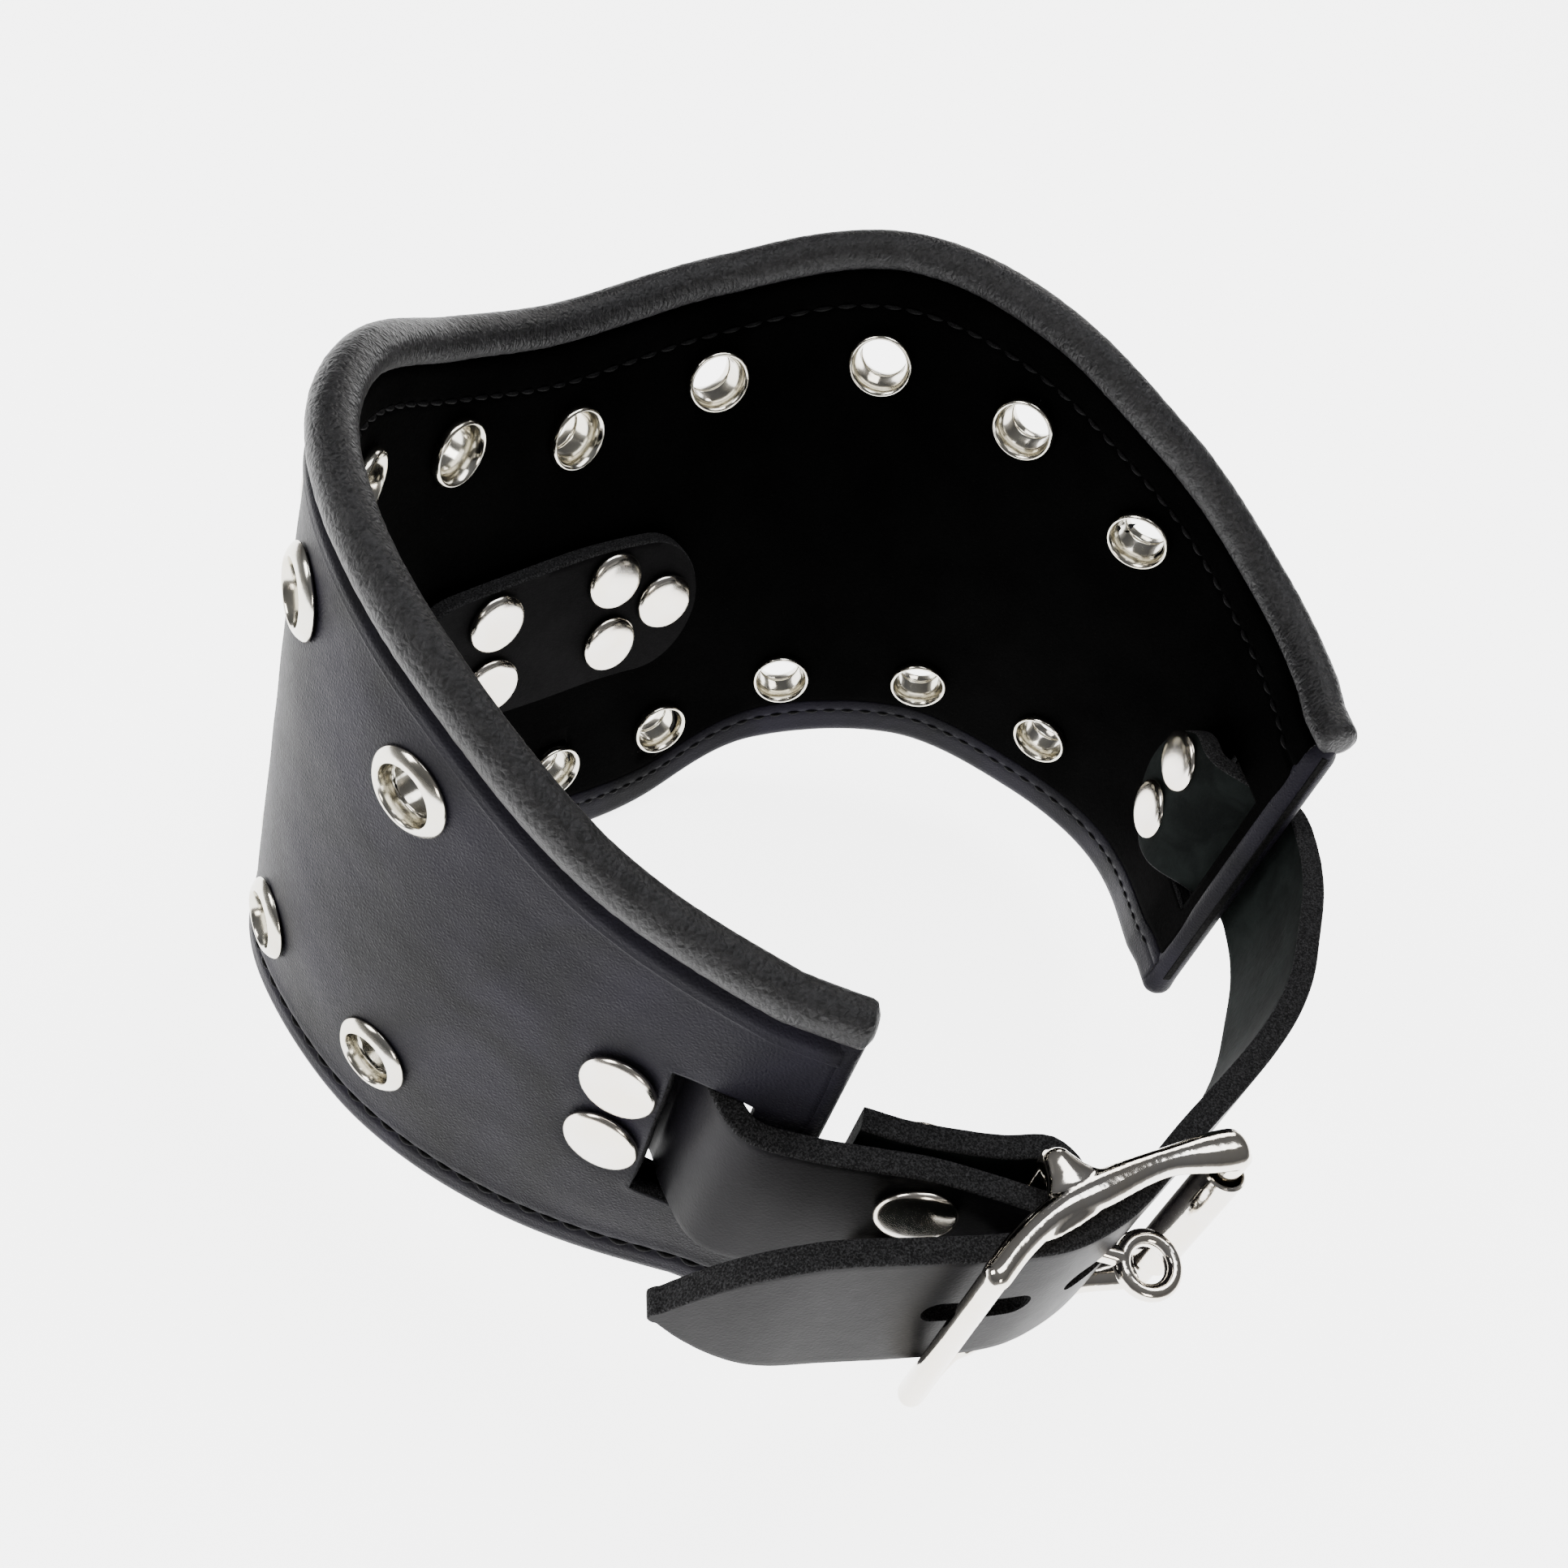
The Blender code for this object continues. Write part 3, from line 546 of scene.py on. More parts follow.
def add_tube(bm, points, widths, heights, side=None, sides=20, round_ends=0.0):
    """Sweep an oval along points; `side` is the direction of its width."""
    rings = []
    count = len(points)
    for i, point in enumerate(points):
        run = (points[min(i + 1, count - 1)] - points[max(i - 1, 0)]).normalized()
        across = Vector(side) if side else Vector((run.y, -run.x, 0))
        across = (across - run * across.dot(run)).normalized()
        up = run.cross(across)
        wide = widths[i] if isinstance(widths, list) else widths
        tall = heights[i] if isinstance(heights, list) else heights
        ring = [across * wide * math.cos(2 * math.pi * k / sides)
                + up * tall * math.sin(2 * math.pi * k / sides) for k in range(sides)]
        if round_ends and i in (0, count - 1):
            away = -run if i == 0 else run
            steps = [(math.cos(a), math.sin(a)) for a in END_ANGLES]
            caps = [[point + p * c + away * round_ends * s for p in ring] for c, s in steps]
            body = [[point + p for p in ring]]
            rings += list(reversed(caps)) + body if i == 0 else body + caps
        else:
            rings.append([point + p for p in ring])
    add_rings(bm, rings)


def fuse(obj, voxel, smoothing):
    """Blend overlapping solids into one cast body."""
    remesh = obj.modifiers.new("fuse", "REMESH")
    remesh.mode = "VOXEL"
    remesh.voxel_size = voxel * MM
    remesh.use_smooth_shade = True
    soften = obj.modifiers.new("soften", "SMOOTH")
    soften.iterations = smoothing
    soften.factor = 0.5
    bake_modifiers(obj)
    obj.data.shade_smooth()


# ---- camera, light and floor ------------
def make_camera():
    data = bpy.data.cameras.new("camera")
    data.sensor_width = 36.0
    data.lens = CAMERA_LENS
    data.clip_start = 0.01
    data.clip_end = 50.0
    camera = bpy.data.objects.new("camera", data)
    right = Vector(CAMERA_RIGHT)
    up = Vector(CAMERA_UP)
    turn = Matrix((right, up, right.cross(up))).transposed().to_4x4()
    camera.matrix_world = Matrix.Translation(Vector(CAMERA_PLACE) * MM) @ turn
    bpy.context.scene.collection.objects.link(camera)
    bpy.context.scene.camera = camera


def add_light(name, place, target, width, height, power, colour):
    """Softbox at a place in the frame, in metres, facing a target."""
    data = bpy.data.lights.new(name, "AREA")
    data.shape = "RECTANGLE"
    data.size = width
    data.size_y = height
    data.energy = power
    data.color = colour
    light = bpy.data.objects.new(name, data)
    light.location = place
    light.rotation_euler = (Vector(target) - Vector(place)).to_track_quat("-Z", "Y").to_euler()
    bpy.context.scene.collection.objects.link(light)


def make_lights():
    middle = (0.0, 0.0, 0.05)
    add_light("key_softbox", (0.75, -0.55, 0.85), middle, 0.5, 0.5, 10.0, (1.0, 0.985, 0.97))
    add_light("top_softbox", (-0.25, 0.05, 1.1), middle, 0.45, 0.9, 10.0, (0.97, 0.98, 1.0))
    add_light("buckle_softbox", (0.5, 0.9, 0.5), middle, 0.3, 0.3, 3.0, (1.0, 0.93, 0.85))
    add_light("back_softbox", (-0.9, -0.5, 0.5), middle, 0.4, 0.3, 3.0, (1.0, 0.97, 0.94))


def make_world():
    """Studio surroundings for the metal to mirror: bright up to the horizon, dark above it."""
    world = bpy.data.worlds.new("studio")
    world.use_nodes = True
    tree = world.node_tree
    sky = tree.nodes["Background"]
    coordinates = tree.nodes.new("ShaderNodeTexCoord")
    split = tree.nodes.new("ShaderNodeSeparateXYZ")
    grade = tree.nodes.new("ShaderNodeValToRGB")
    set_stops(grade.color_ramp, SKY_STOPS)
    tree.links.new(coordinates.outputs["Generated"], split.inputs["Vector"])
    tree.links.new(split.outputs["Z"], grade.inputs["Fac"])
    tree.links.new(grade.outputs["Color"], sky.inputs["Color"])
    sky.inputs["Strength"].default_value = 1.0
    bpy.context.scene.world = world


def make_floor():
    bm = bmesh.new()
    bmesh.ops.create_grid(bm, x_segments=2, y_segments=2, size=6.0)
    mesh = bpy.data.meshes.new("floor")
    bm.to_mesh(mesh)
    bm.free()
    made = Material("pale_floor", (0.9, 0.9, 0.9), 0.8, specular=0.2)
    made.colour(made.noise(60, 3), (0.93, 0.93, 0.93), (0.95, 0.95, 0.95))
    made.set("Emission Color", (1.0, 1.0, 1.0, 1.0))
    made.set("Emission Strength", FLOOR_GLOW)
    mesh.materials.append(made.material)
    floor = bpy.data.objects.new("floor", mesh)
    floor.location.z = -FLOOR_DROP
    bpy.context.scene.collection.objects.link(floor)


# ---- the wall ------------
def eyelet_places(heights):
    """Arc length and height of each eyelet of a row; heights are from the throat outwards."""
    middle = EYELET_COLUMNS // 2
    return [((i - middle) * EYELET_SPACING, heights[abs(i - middle)]) for i in range(EYELET_COLUMNS)]


EYELETS = eyelet_places(EYELET_TOP_HEIGHTS) + eyelet_places(EYELET_BOTTOM_HEIGHTS)
SLOT_LOW = STRAP_HEIGHT - SLOT_HEIGHT / 2
SLOT_HIGH = STRAP_HEIGHT + SLOT_HEIGHT / 2


def strap_rivet_places(side):
    return [(side * RIVET_ARC, STRAP_HEIGHT + step * RIVET_PITCH / 2) for step in (-1, 1)]


def band_rivet_places():
    places = []
    for side in (-1, 1):
        for step in (-1, 1):
            places.append((BAND_CENTRE + side * BAND_PAIR_OFFSET, BAND_HEIGHT + step * RIVET_PITCH / 2))
        places.append((BAND_CENTRE + side * BAND_APEX_OFFSET, BAND_HEIGHT))
    return places


WALL_RIVETS = strap_rivet_places(-1) + strap_rivet_places(1) + band_rivet_places()


def wall_arcs():
    """Arc lengths of the sheets' columns, with one on each side of the slots."""
    stops = (END_LEFT + END_FOLD, -SLOT_FAR, -SLOT_NEAR, SLOT_NEAR, SLOT_FAR, END_RIGHT - END_FOLD)
    arcs = []
    for a, b in zip(stops, stops[1:]):
        arcs += spread(a, b, CELL)
    return arcs + [stops[-1]]


def hole_shift(arc, z):
    """Move grid points near an eyelet's hole onto its edge, and say if a point is inside it."""
    for hole_arc, hole_z in EYELETS:
        across, up = arc - hole_arc, z - hole_z
        distance = math.hypot(across, up)
        if distance < HOLE_RADIUS - HOLE_SNAP:
            return arc, z, True
        if distance < HOLE_RADIUS + HOLE_SNAP:
            scale = HOLE_RADIUS / distance
            return hole_arc + across * scale, hole_z + up * scale, False
    return arc, z, False


def outer_surface(arc, z, low, high):
    """How far out the outer leather's face lies, with its folds, flange and seam groove."""
    above = z - low
    below = high - z
    out = WALL_HALF + (FOLD_RADIUS - WALL_HALF) * (1 - ramp(above, 0.0, 2.2))
    out += 0.22 * (1 - ramp(below, FLANGE - 0.35, FLANGE + 0.1))
    out += 0.10 * bump(below - FLANGE + 0.25, 0.3)
    out -= 1.5 * (1 - ramp(below, 2.0, 4.4))
    seam = above - BOTTOM_STITCH
    pull = 0.5 + 0.5 * math.cos(2 * math.pi * arc / STITCH_PITCH)
    out -= 0.42 * bump(seam, 0.55)
    out += 0.14 * bump(seam - 1.5, 0.8) + 0.12 * bump(seam + 1.3, 0.7)
    out -= 0.22 * bump(seam, 0.5) * pull
    wave = noise.noise(Vector((arc / 26.0, z / 26.0, 3.7))) * 0.45
    wave += noise.noise(Vector((arc / 9.0, z / 9.0, 8.1))) * 0.12
    out += wave * ramp(above, 4.0, 12.0) * ramp(below, 7.0, 14.0)
    for rivet_arc, rivet_z in WALL_RIVETS:
        distance = math.hypot(arc - rivet_arc, z - rivet_z)
        if distance < 10.0:
            out -= 0.35 * bump(max(distance - 4.0, 0.0), 2.2)
    edge = min(abs(abs(arc) - SLOT_NEAR), abs(abs(arc) - SLOT_FAR))
    if SLOT_LOW - 2.0 < z < SLOT_HIGH + 2.0 and edge < 3.0:
        beside = ramp(z, SLOT_LOW - 2, SLOT_LOW + 1) * (1 - ramp(z, SLOT_HIGH - 1, SLOT_HIGH + 2))
        out += 0.28 * bump(edge, 1.4) * beside
    return out


def wall_rows(low, high, from_low, from_high, counts):
    """Heights of a column's grid points: fine at both edges, with rows on the slots' two ends."""
    rows = [low + step for step in from_low]
    stops = (rows.pop(), SLOT_LOW, SLOT_HIGH, high - from_high[0])
    for (a, b), count in zip(zip(stops, stops[1:]), counts):
        rows += [a + (b - a) * i / count for i in range(count)]
    return rows + [high - step for step in from_high]


def add_wall_grid(bm, columns, arcs):
    """Faces between columns of (position, height, inside a hole), leaving holes and slots open."""
    verts = [[bm.verts.new(place[0]) for place in column] for column in columns]
    for i in range(len(columns) - 1):
        middle = abs(arcs[i] + arcs[i + 1]) / 2
        in_slot_arc = SLOT_NEAR < middle < SLOT_FAR
        for j in range(len(columns[0]) - 1):
            corners = ((i, j), (i + 1, j), (i + 1, j + 1), (i, j + 1))
            if any(columns[a][b][2] for a, b in corners):
                continue
            z = (columns[i][j][1] + columns[i][j + 1][1]) / 2
            if in_slot_arc and SLOT_LOW < z < SLOT_HIGH:
                continue
            bm.faces.new([verts[a][b] for a, b in corners])
    bmesh.ops.delete(bm, geom=[v for v in bm.verts if not v.link_faces], context="VERTS")


def thicken(obj, thickness, rim):
    """Give a sheet its thickness behind its face; `rim` is the material of its cut edges."""
    solid = obj.modifiers.new("thickness", "SOLIDIFY")
    solid.thickness = thickness * MM
    solid.offset = -1.0
    solid.use_rim = True
    solid.material_offset_rim = rim


def make_outer_leather():
    """Grained leather: up the outside, with its lower edge turned under and up the inside."""
    arcs = wall_arcs()
    from_low = (0.35, 0.7, 1.05, 1.4, 1.75, 2.1, 2.4, 2.7, 3.0, 3.3, 3.6, 3.95, 4.4, 5.0, 5.8)
    from_high = (8.5, 7.6, 6.9, 6.5, 6.2, 6.0, 5.8, 5.6, 5.3, 4.9, 4.5, 4.1, 3.7, 3.3, 2.9, 2.5, 2.0)
    inside = ((-2.0, 6.1), (-2.25, 5.7), (-2.5, 5.2), (-2.62, 4.6), (-2.62, 4.0), (-2.45, INNER_STITCH),
              (-2.62, 3.4), (-2.66, 2.6), (-2.64, 1.7), (-2.62, 0.9))
    columns = []
    for arc in arcs:
        low, high = bottom_edge(arc), top_edge(arc)
        column = [(wall_point(arc, out, low + up), NO_HEIGHT, False) for out, up in inside]
        for k in range(FOLD_STEPS + 1):
            angle = math.pi * (1 + k / FOLD_STEPS)
            out, up = FOLD_RADIUS * math.cos(angle), FOLD_RADIUS * math.sin(angle)
            column.append((wall_point(arc, out, low + up), NO_HEIGHT, False))
        for z in wall_rows(low, high, from_low, from_high, (16, 32, 34)):
            at, height, gone = hole_shift(arc, z)
            out = outer_surface(at, height, bottom_edge(at), top_edge(at))
            column.append((wall_point(at, out, height), z, gone))
        columns.append(column)
    bm = bmesh.new()
    add_wall_grid(bm, columns, arcs)
    for face in bm.faces:
        face.normal_flip()
    obj = as_object(bm, "outer_leather_shell", ("outer", "outer", "edge"), 60)
    thicken(obj, OUTER_THICK, 2)
    settle(obj, "outer_leather", "outer_leather", "bottom_rolled_edge")


def make_lining():
    """Smooth black lining, from under the top roll to the turned lower edge."""
    arcs = wall_arcs()
    from_low = (5.3, 5.7, 6.1, 6.6, 7.4)
    from_high = (10.0, 9.4, 9.0, 8.6, 8.2, 7.8, 7.4, 6.8, 6.0, 4.5, 3.4, 2.6, 2.0)
    columns = []
    for arc in arcs:
        low, high = bottom_edge(arc), top_edge(arc)
        column = []
        for z in wall_rows(low, high, from_low, from_high, (10, 24, 24)):
            at, height, gone = hole_shift(arc, z)
            above, below = height - low, high - height
            out = -WALL_HALF + 0.7 * (1 - ramp(above, 5.2, 6.8))
            out += 1.1 * (1 - ramp(below, 1.6, 3.2)) + 0.3 * bump(below - TOP_STITCH, 0.5)
            wave = noise.noise(Vector((arc / 18.0, z / 18.0, 5.2))) * 0.3
            out -= wave * ramp(above, 7, 12) * ramp(below, 9, 14)
            column.append((wall_point(at, out, height), z, gone))
        columns.append(column)
    bm = bmesh.new()
    add_wall_grid(bm, columns, arcs)
    obj = as_object(bm, "lining_leather", ("lining", "lining", "edge"), 60)
    thicken(obj, LINING_THICK, 2)
    settle(obj, "lining", "lining")


def make_end_folds():
    """Leather turned round the wall's two upright ends."""
    for name, arc in (("left_end_fold", END_LEFT + END_FOLD), ("right_end_fold", END_RIGHT - END_FOLD)):
        low, high = bottom_edge(arc), top_edge(arc)
        angle = heading(arc)
        across = Vector((-math.sin(angle), math.cos(angle), 0))
        heights = [low - 0.4] + spread(low, high - 1.0, 1.2) + [high - 1.0]
        points = [wall_point(arc, 0, z) for z in heights]
        widths = [WALL_HALF + 0.02 + 0.24 * (1 - ramp(z - low, 0, 2.5)) - 1.1 * (1 - ramp(high - z, 2, 4.2))
                  for z in heights]
        bm = bmesh.new()
        add_tube(bm, points, widths, END_FOLD, side=across, sides=28, round_ends=2.1)
        settle(as_object(bm, name, ("outer",)), "outer_leather")


def make_top_roll():
    """Soft leather roll along the top edge, finely wrinkled, with rounded ends."""
    arcs = spread(END_LEFT, END_RIGHT, 0.6) + [END_RIGHT]
    sides = 36
    rings = []
    for arc in arcs:
        z = top_edge(arc)
        centre = wall_point(arc, 0, z)
        run = wall_point(arc + 0.3, 0, top_edge(arc + 0.3)) - wall_point(arc - 0.3, 0, top_edge(arc - 0.3))
        run.normalize()
        level = wall_normal(arc, z)
        level = (level - run * level.dot(run)).normalized()
        up = run.cross(level)
        ends = min(arc - END_LEFT, END_RIGHT - arc)
        close = math.sqrt(max(0.0, 1 - (1 - min(ends / ROLL_END, 1.0)) ** 2))
        reach = (TOP_ROLL_RADIUS - ROLL_END) + ROLL_END * close
        ring = []
        for k in range(sides):
            angle = 2 * math.pi * k / sides
            crease = noise.noise(Vector((arc / 1.1, angle * 1.6, 2.0)))
            swell = noise.noise(Vector((arc / 14.0, angle * 0.8, 6.0)))
            radius = reach + 0.07 * crease + 0.12 * swell
            ring.append(centre + (level * math.cos(angle) + up * math.sin(angle)) * radius)
        rings.append(ring)
    bm = bmesh.new()
    add_rings(bm, rings)
    obj = as_object(bm, "top_roll_leather", ("roll",))
    settle(obj, "rolled_edge", "top_rolled_edge")


def add_stitch(bm, start, end, lift):
    """One short thread stitch, sunk at both ends."""
    run = end - start
    out = lift.normalized()
    side = run.cross(out).normalized()
    rings = []
    steps = 7
    for i in range(steps):
        t = i / (steps - 1)
        arch = math.sin(math.pi * t)
        radius = THREAD_RADIUS * (0.45 + 0.55 * arch ** 0.5) if 0 < t < 1 else THREAD_RADIUS * 0.35
        centre = start + run * t + out * (0.34 * arch - 0.2)
        rings.append([centre + (side * math.cos(a) + out * math.sin(a)) * radius
                      for a in (2 * math.pi * k / 8 for k in range(8))])
    add_rings(bm, rings)


def make_seam(name, place_of, out_sign):
    """A row of stitches along the wall; `place_of` gives out and height at an arc length."""
    bm = bmesh.new()
    first = END_LEFT + SEAM_MARGIN
    for i in range(int((END_RIGHT - SEAM_MARGIN - first) / STITCH_PITCH)):
        at = first + i * STITCH_PITCH
        start, end = (wall_point(arc, *place_of(arc)) for arc in (at, at + STITCH_LENGTH))
        add_stitch(bm, start, end, wall_normal(at + STITCH_LENGTH / 2, start.z) * out_sign)
    settle(as_object(bm, name, ("thread",)), "outer_leather")


def make_seams():
    make_seam("bottom_stitches_outside", lambda arc: (WALL_HALF - 0.2, bottom_edge(arc) + BOTTOM_STITCH), 1)
    make_seam("bottom_stitches_inside", lambda arc: (-2.5, bottom_edge(arc) + INNER_STITCH), -1)
    make_seam("top_stitches_inside", lambda arc: (-2.15, top_edge(arc) - TOP_STITCH), -1)


def make_band():
    """Reinforcing band riveted inside the throat, with rounded ends."""
    half = BAND_LENGTH / 2
    near, far = -(WALL_HALF + 0.02), -(WALL_HALF + 0.3 + BAND_THICK)
    rows = 22
    count = 90
    rings = []
    for i in range(count + 1):
        along = -half * math.cos(math.pi * i / count)
        beyond = max(0.0, abs(along) - (half - BAND_END)) / BAND_END
        reach = STRAP_WIDTH / 2 * math.sqrt(max(0.003, 1 - beyond ** 2))
        arc = BAND_CENTRE + along
        flat = [(reach - BAND_BEVEL) * (2 * j / rows - 1) for j in range(rows + 1)]
        ring = [wall_point(arc, far, BAND_HEIGHT + up) for up in flat]
        ring.append(wall_point(arc, far + BAND_BEVEL, BAND_HEIGHT + reach))
        ring += [wall_point(arc, near, BAND_HEIGHT - up) for up in flat]
        ring.append(wall_point(arc, far + BAND_BEVEL, BAND_HEIGHT - reach))
        rings.append(ring)
    bm = bmesh.new()
    add_rings(bm, rings, materials=([0] * rows + [1, 1]) * 2)
    settle(as_object(bm, "inner_band_leather", ("band", "edge"), 40), "inner_band", "inner_band")


# ---- eyelets and rivets ------------
# Key points of the eyelet's closed section: bore, inner rim, tube, outer flange and its mouth.
EYELET_SECTION = ((3.72, 1.6), (3.86, 1.5), (3.88, 0.6), (3.86, -1.2), (4.05, -2.4), (4.45, -3.5),
                  (4.85, -3.95), (5.2, -3.6), (5.25, -2.9), (5.1, -2.3), (4.35, -2.1), (4.3, 0.0),
                  (4.35, 2.2), (5.5, 2.35), (5.93, 2.5), (5.9, 2.85), (5.5, 3.3), (4.95, 3.7),
                  (4.45, 3.9), (4.2, 3.8), (4.0, 3.3), (3.8, 2.4))


def make_eyelets():
    loop = [Vector(p) for p in EYELET_SECTION]
    size = len(loop)
    section = []
    for i in range(size):
        around = [loop[(i + k) % size] for k in (-1, 0, 1, 2)]
        for t in (0.0, 0.5):
            point = catmull(*around, t)
            section.append((point.x, point.y))
    for row, heights in (("top", EYELET_TOP_HEIGHTS), ("bottom", EYELET_BOTTOM_HEIGHTS)):
        for number, (arc, z) in enumerate(eyelet_places(heights), 1):
            bm = bmesh.new()
            add_turned(bm, wall_point(arc, 0, z), wall_normal(arc, z), section, 48, closed=True)
            obj = as_solid(bm, f"set_{row}_eyelet_{number}", ("eyelet",), 70)
            settle(obj, "eyelet", f"{row}_eyelet_{number}")


def cap_section(seat, sign):
    """Section of one rivet cap, from the post to the middle of its flat dome."""
    shape = ((1.5, 0.35), (4.5, 0.2), (4.85, 0.0), (5.1, 0.1), (5.2, 0.38), (5.15, 0.62), (4.95, 0.9),
             (4.6, 1.12), (4.0, 1.28), (3.0, 1.4), (1.6, 1.47), (0.0, 1.5))
    return [(radius, seat + sign * height) for radius, height in shape]


def make_rivet(name, node, centre, axis, outer_seat, inner_seat):
    """Rivet with a cap at each end of its post, on seats measured along the axis."""
    section = list(reversed(cap_section(inner_seat, -1))) + cap_section(outer_seat, 1)
    bm = bmesh.new()
    add_turned(bm, centre, axis, section, 48)
    settle(as_solid(bm, name, ("cap",), 60), "rivet", node)


def make_rivets():
    wall = WALL_HALF + 0.05
    strap_inside = STRAP_INNER - STRAP_THICK / 2 - 0.15
    band_inside = -(WALL_HALF + 0.3 + BAND_THICK + 0.15)
    groups = (("chape_anchor_rivet", strap_rivet_places(-1), strap_inside),
              ("billet_anchor_rivet", strap_rivet_places(1), strap_inside),
              ("band_rivet", band_rivet_places(), band_inside))
    for name, places, inner in groups:
        for number, (arc, z) in enumerate(places, 1):
            node = f"{name}_{number}"
            make_rivet(f"set_{node}", node, wall_point(arc, 0, z), wall_normal(arc, z), wall, inner)
    run = Vector((*FOLD_RIVET_RUN, 0)).normalized()
    for number, step in enumerate((-1, 1), 1):
        centre = Vector((*FOLD_RIVET_PLACE, STRAP_HEIGHT + step * RIVET_PITCH / 2))
        node = f"fold_rivet_{number}"
        make_rivet(f"set_{node}", node, centre, Vector((run.y, -run.x, 0)), FOLD_SEAT, -FOLD_SEAT)


# ---- straps ------------
def strap_entry(side):
    """Route of a strap from its anchor inside the wall out through the slot."""
    outside = WALL_HALF + STRAP_CLEAR + STRAP_THICK / 2
    stops = ((127.5, STRAP_INNER), (134.0, STRAP_INNER), (141.3, STRAP_INNER), (145.9, 0.1),
             (SLOT_FAR, outside))
    return [plan_point(side * arc, out + lean(side * arc) * (STRAP_HEIGHT - LEAN_PIVOT))
            for arc, out in stops]


def fold_arc():
    """Half turn of the chape round the centre bar."""
    along = Vector(FOLD_DIRECTION).normalized()
    out = Vector((along.y, -along.x))
    radius = BAR_RADIUS + 0.3 + STRAP_THICK / 2
    angles = [math.pi * i / 6 for i in range(7)]
    return [tuple(Vector(CENTRE_BAR) + radius * (out * math.cos(a) + along * math.sin(a)))
            for a in angles]


def along_path(path, distances):
    """Points of a polyline at given distances from its start."""
    result = []
    walked = 0.0
    i = 0
    for wanted in distances:
        while i < len(path) - 2 and walked + (path[i + 1] - path[i]).length < wanted:
            walked += (path[i + 1] - path[i]).length
            i += 1
        step = (path[i + 1] - path[i]).length
        result.append(path[i].lerp(path[i + 1], min(max((wanted - walked) / step, 0.0), 1.0)))
    return result


def strap_profile(total, tip):
    """Distances along a strap and its share of the full width there, with both ends shaped."""
    distances = []
    shares = []
    for turn in range(84, 0, -6):
        angle = math.radians(turn)
        distances.append(ANCHOR_END * (1 - math.sin(angle)))
        shares.append(math.cos(angle))
    middle = spread(ANCHOR_END, total - tip, 0.9)
    distances += middle
    shares += [1.0] * len(middle)
    if not tip:
        return distances + [total], shares + [1.0]
    for i in range(27):
        left = tip * (1 - i / 26) ** 1.3
        distances.append(total - left)
        shares.append(max(0.045 + 0.06 * min(left / 0.5, 1.0), 1 - (1 - left / tip) ** 2))
    return distances, shares


def strap_ring(at, out, reach):
    """Section of a strap: each broad face flat with soft corners, and the cut edges between."""
    half = STRAP_THICK / 2
    flat = max(reach - STRAP_BEVEL, 0.05)
    up = Vector((0, 0, 1))
    corner = []
    for turn in (22.5, 45.0, 67.5):
        angle = math.radians(turn)
        corner.append((half - STRAP_BEVEL + STRAP_BEVEL * math.cos(angle),
                       flat + (reach - flat) * math.sin(angle)))
    steps = (half - STRAP_BEVEL, 0.45 * half, 0.0, -0.45 * half, STRAP_BEVEL - half)
    edge = [(step, reach) for step in steps]
    ring = []
    for sign in (1, -1):
        ring += [at - out * sign * half + up * sign * flat * (2 * j / STRAP_ROWS - 1)
                 for j in range(STRAP_ROWS + 1)]
        ring += [at - out * sign * depth + up * sign * height for depth, height in corner + edge]
        ring += [at + out * sign * depth + up * sign * height for depth, height in reversed(corner)]
    return ring


def add_strap(bm, route, tip):
    """Strap on edge, tapered over the length `tip`; faces 0 outside, 1 inside, 2 cut."""
    path = spline(route, 0.5)
    total = sum((b - a).length for a, b in zip(path, path[1:]))
    distances, shares = strap_profile(total, tip)
    points = along_path(path, distances)
    rings = []
    for i, point in enumerate(points):
        run = (points[min(i + 1, len(points) - 1)] - points[max(i - 1, 0)]).normalized()
        reach = STRAP_WIDTH / 2 * shares[i]
        ring = strap_ring(Vector((*point, STRAP_HEIGHT)), Vector((run.y, -run.x, 0)), reach)
        for p in ring:
            if abs(abs(p.z - STRAP_HEIGHT) - reach) < 0.5:
                p.z += 0.05 * noise.noise(p * 1.7)
        rings.append(ring)
    edge = [2] * EDGE_ROWS
    add_rings(bm, rings, materials=[0] * STRAP_ROWS + edge + [1] * STRAP_ROWS + edge)


def oblong_cutter(place, direction):
    """Cutter for one of the billet's tongue slots."""
    length, height = BILLET_SLOT_SIZE
    run = Vector((*direction, 0)).normalized()
    through = Vector((run.y, -run.x, 0))
    half = (length - height) / 2
    rings = []
    for depth in (-4.5, 4.5):
        centre = Vector((*place, STRAP_HEIGHT)) + through * depth
        ring = []
        for end, start in ((1, -90), (-1, 90)):
            for k in range(13):
                angle = math.radians(start + 15 * k)
                ring.append(centre + run * (end * half + height / 2 * math.cos(angle))
                            + Vector((0, 0, height / 2 * math.sin(angle))))
        rings.append(ring)
    bm = bmesh.new()
    add_rings(bm, rings)
    return as_solid(bm, "cutter", ("edge",))


def notch_cutter():
    """Cutter for the gap in the chape's fold, where the tongue's barrel sits."""
    bm = bmesh.new()
    add_turned(bm, (*CENTRE_BAR, STRAP_HEIGHT), (0, 0, 1), ((0, -3), (7.5, -3), (7.5, 3), (0, 3)), 40)
    return as_solid(bm, "cutter", ("edge",))


def cut(obj, cutters):
    """Take the cutters out of an object and delete them."""
    for other in cutters:
        cutting = obj.modifiers.new("cut", "BOOLEAN")
        cutting.operation = "DIFFERENCE"
        cutting.solver = "EXACT"
        cutting.material_mode = "TRANSFER"
        cutting.object = other
    bake_modifiers(obj)
    for other in cutters:
        bpy.data.objects.remove(other, do_unlink=True)
    obj.data.shade_smooth()
    obj.data.set_sharp_from_angle(angle=math.radians(50))


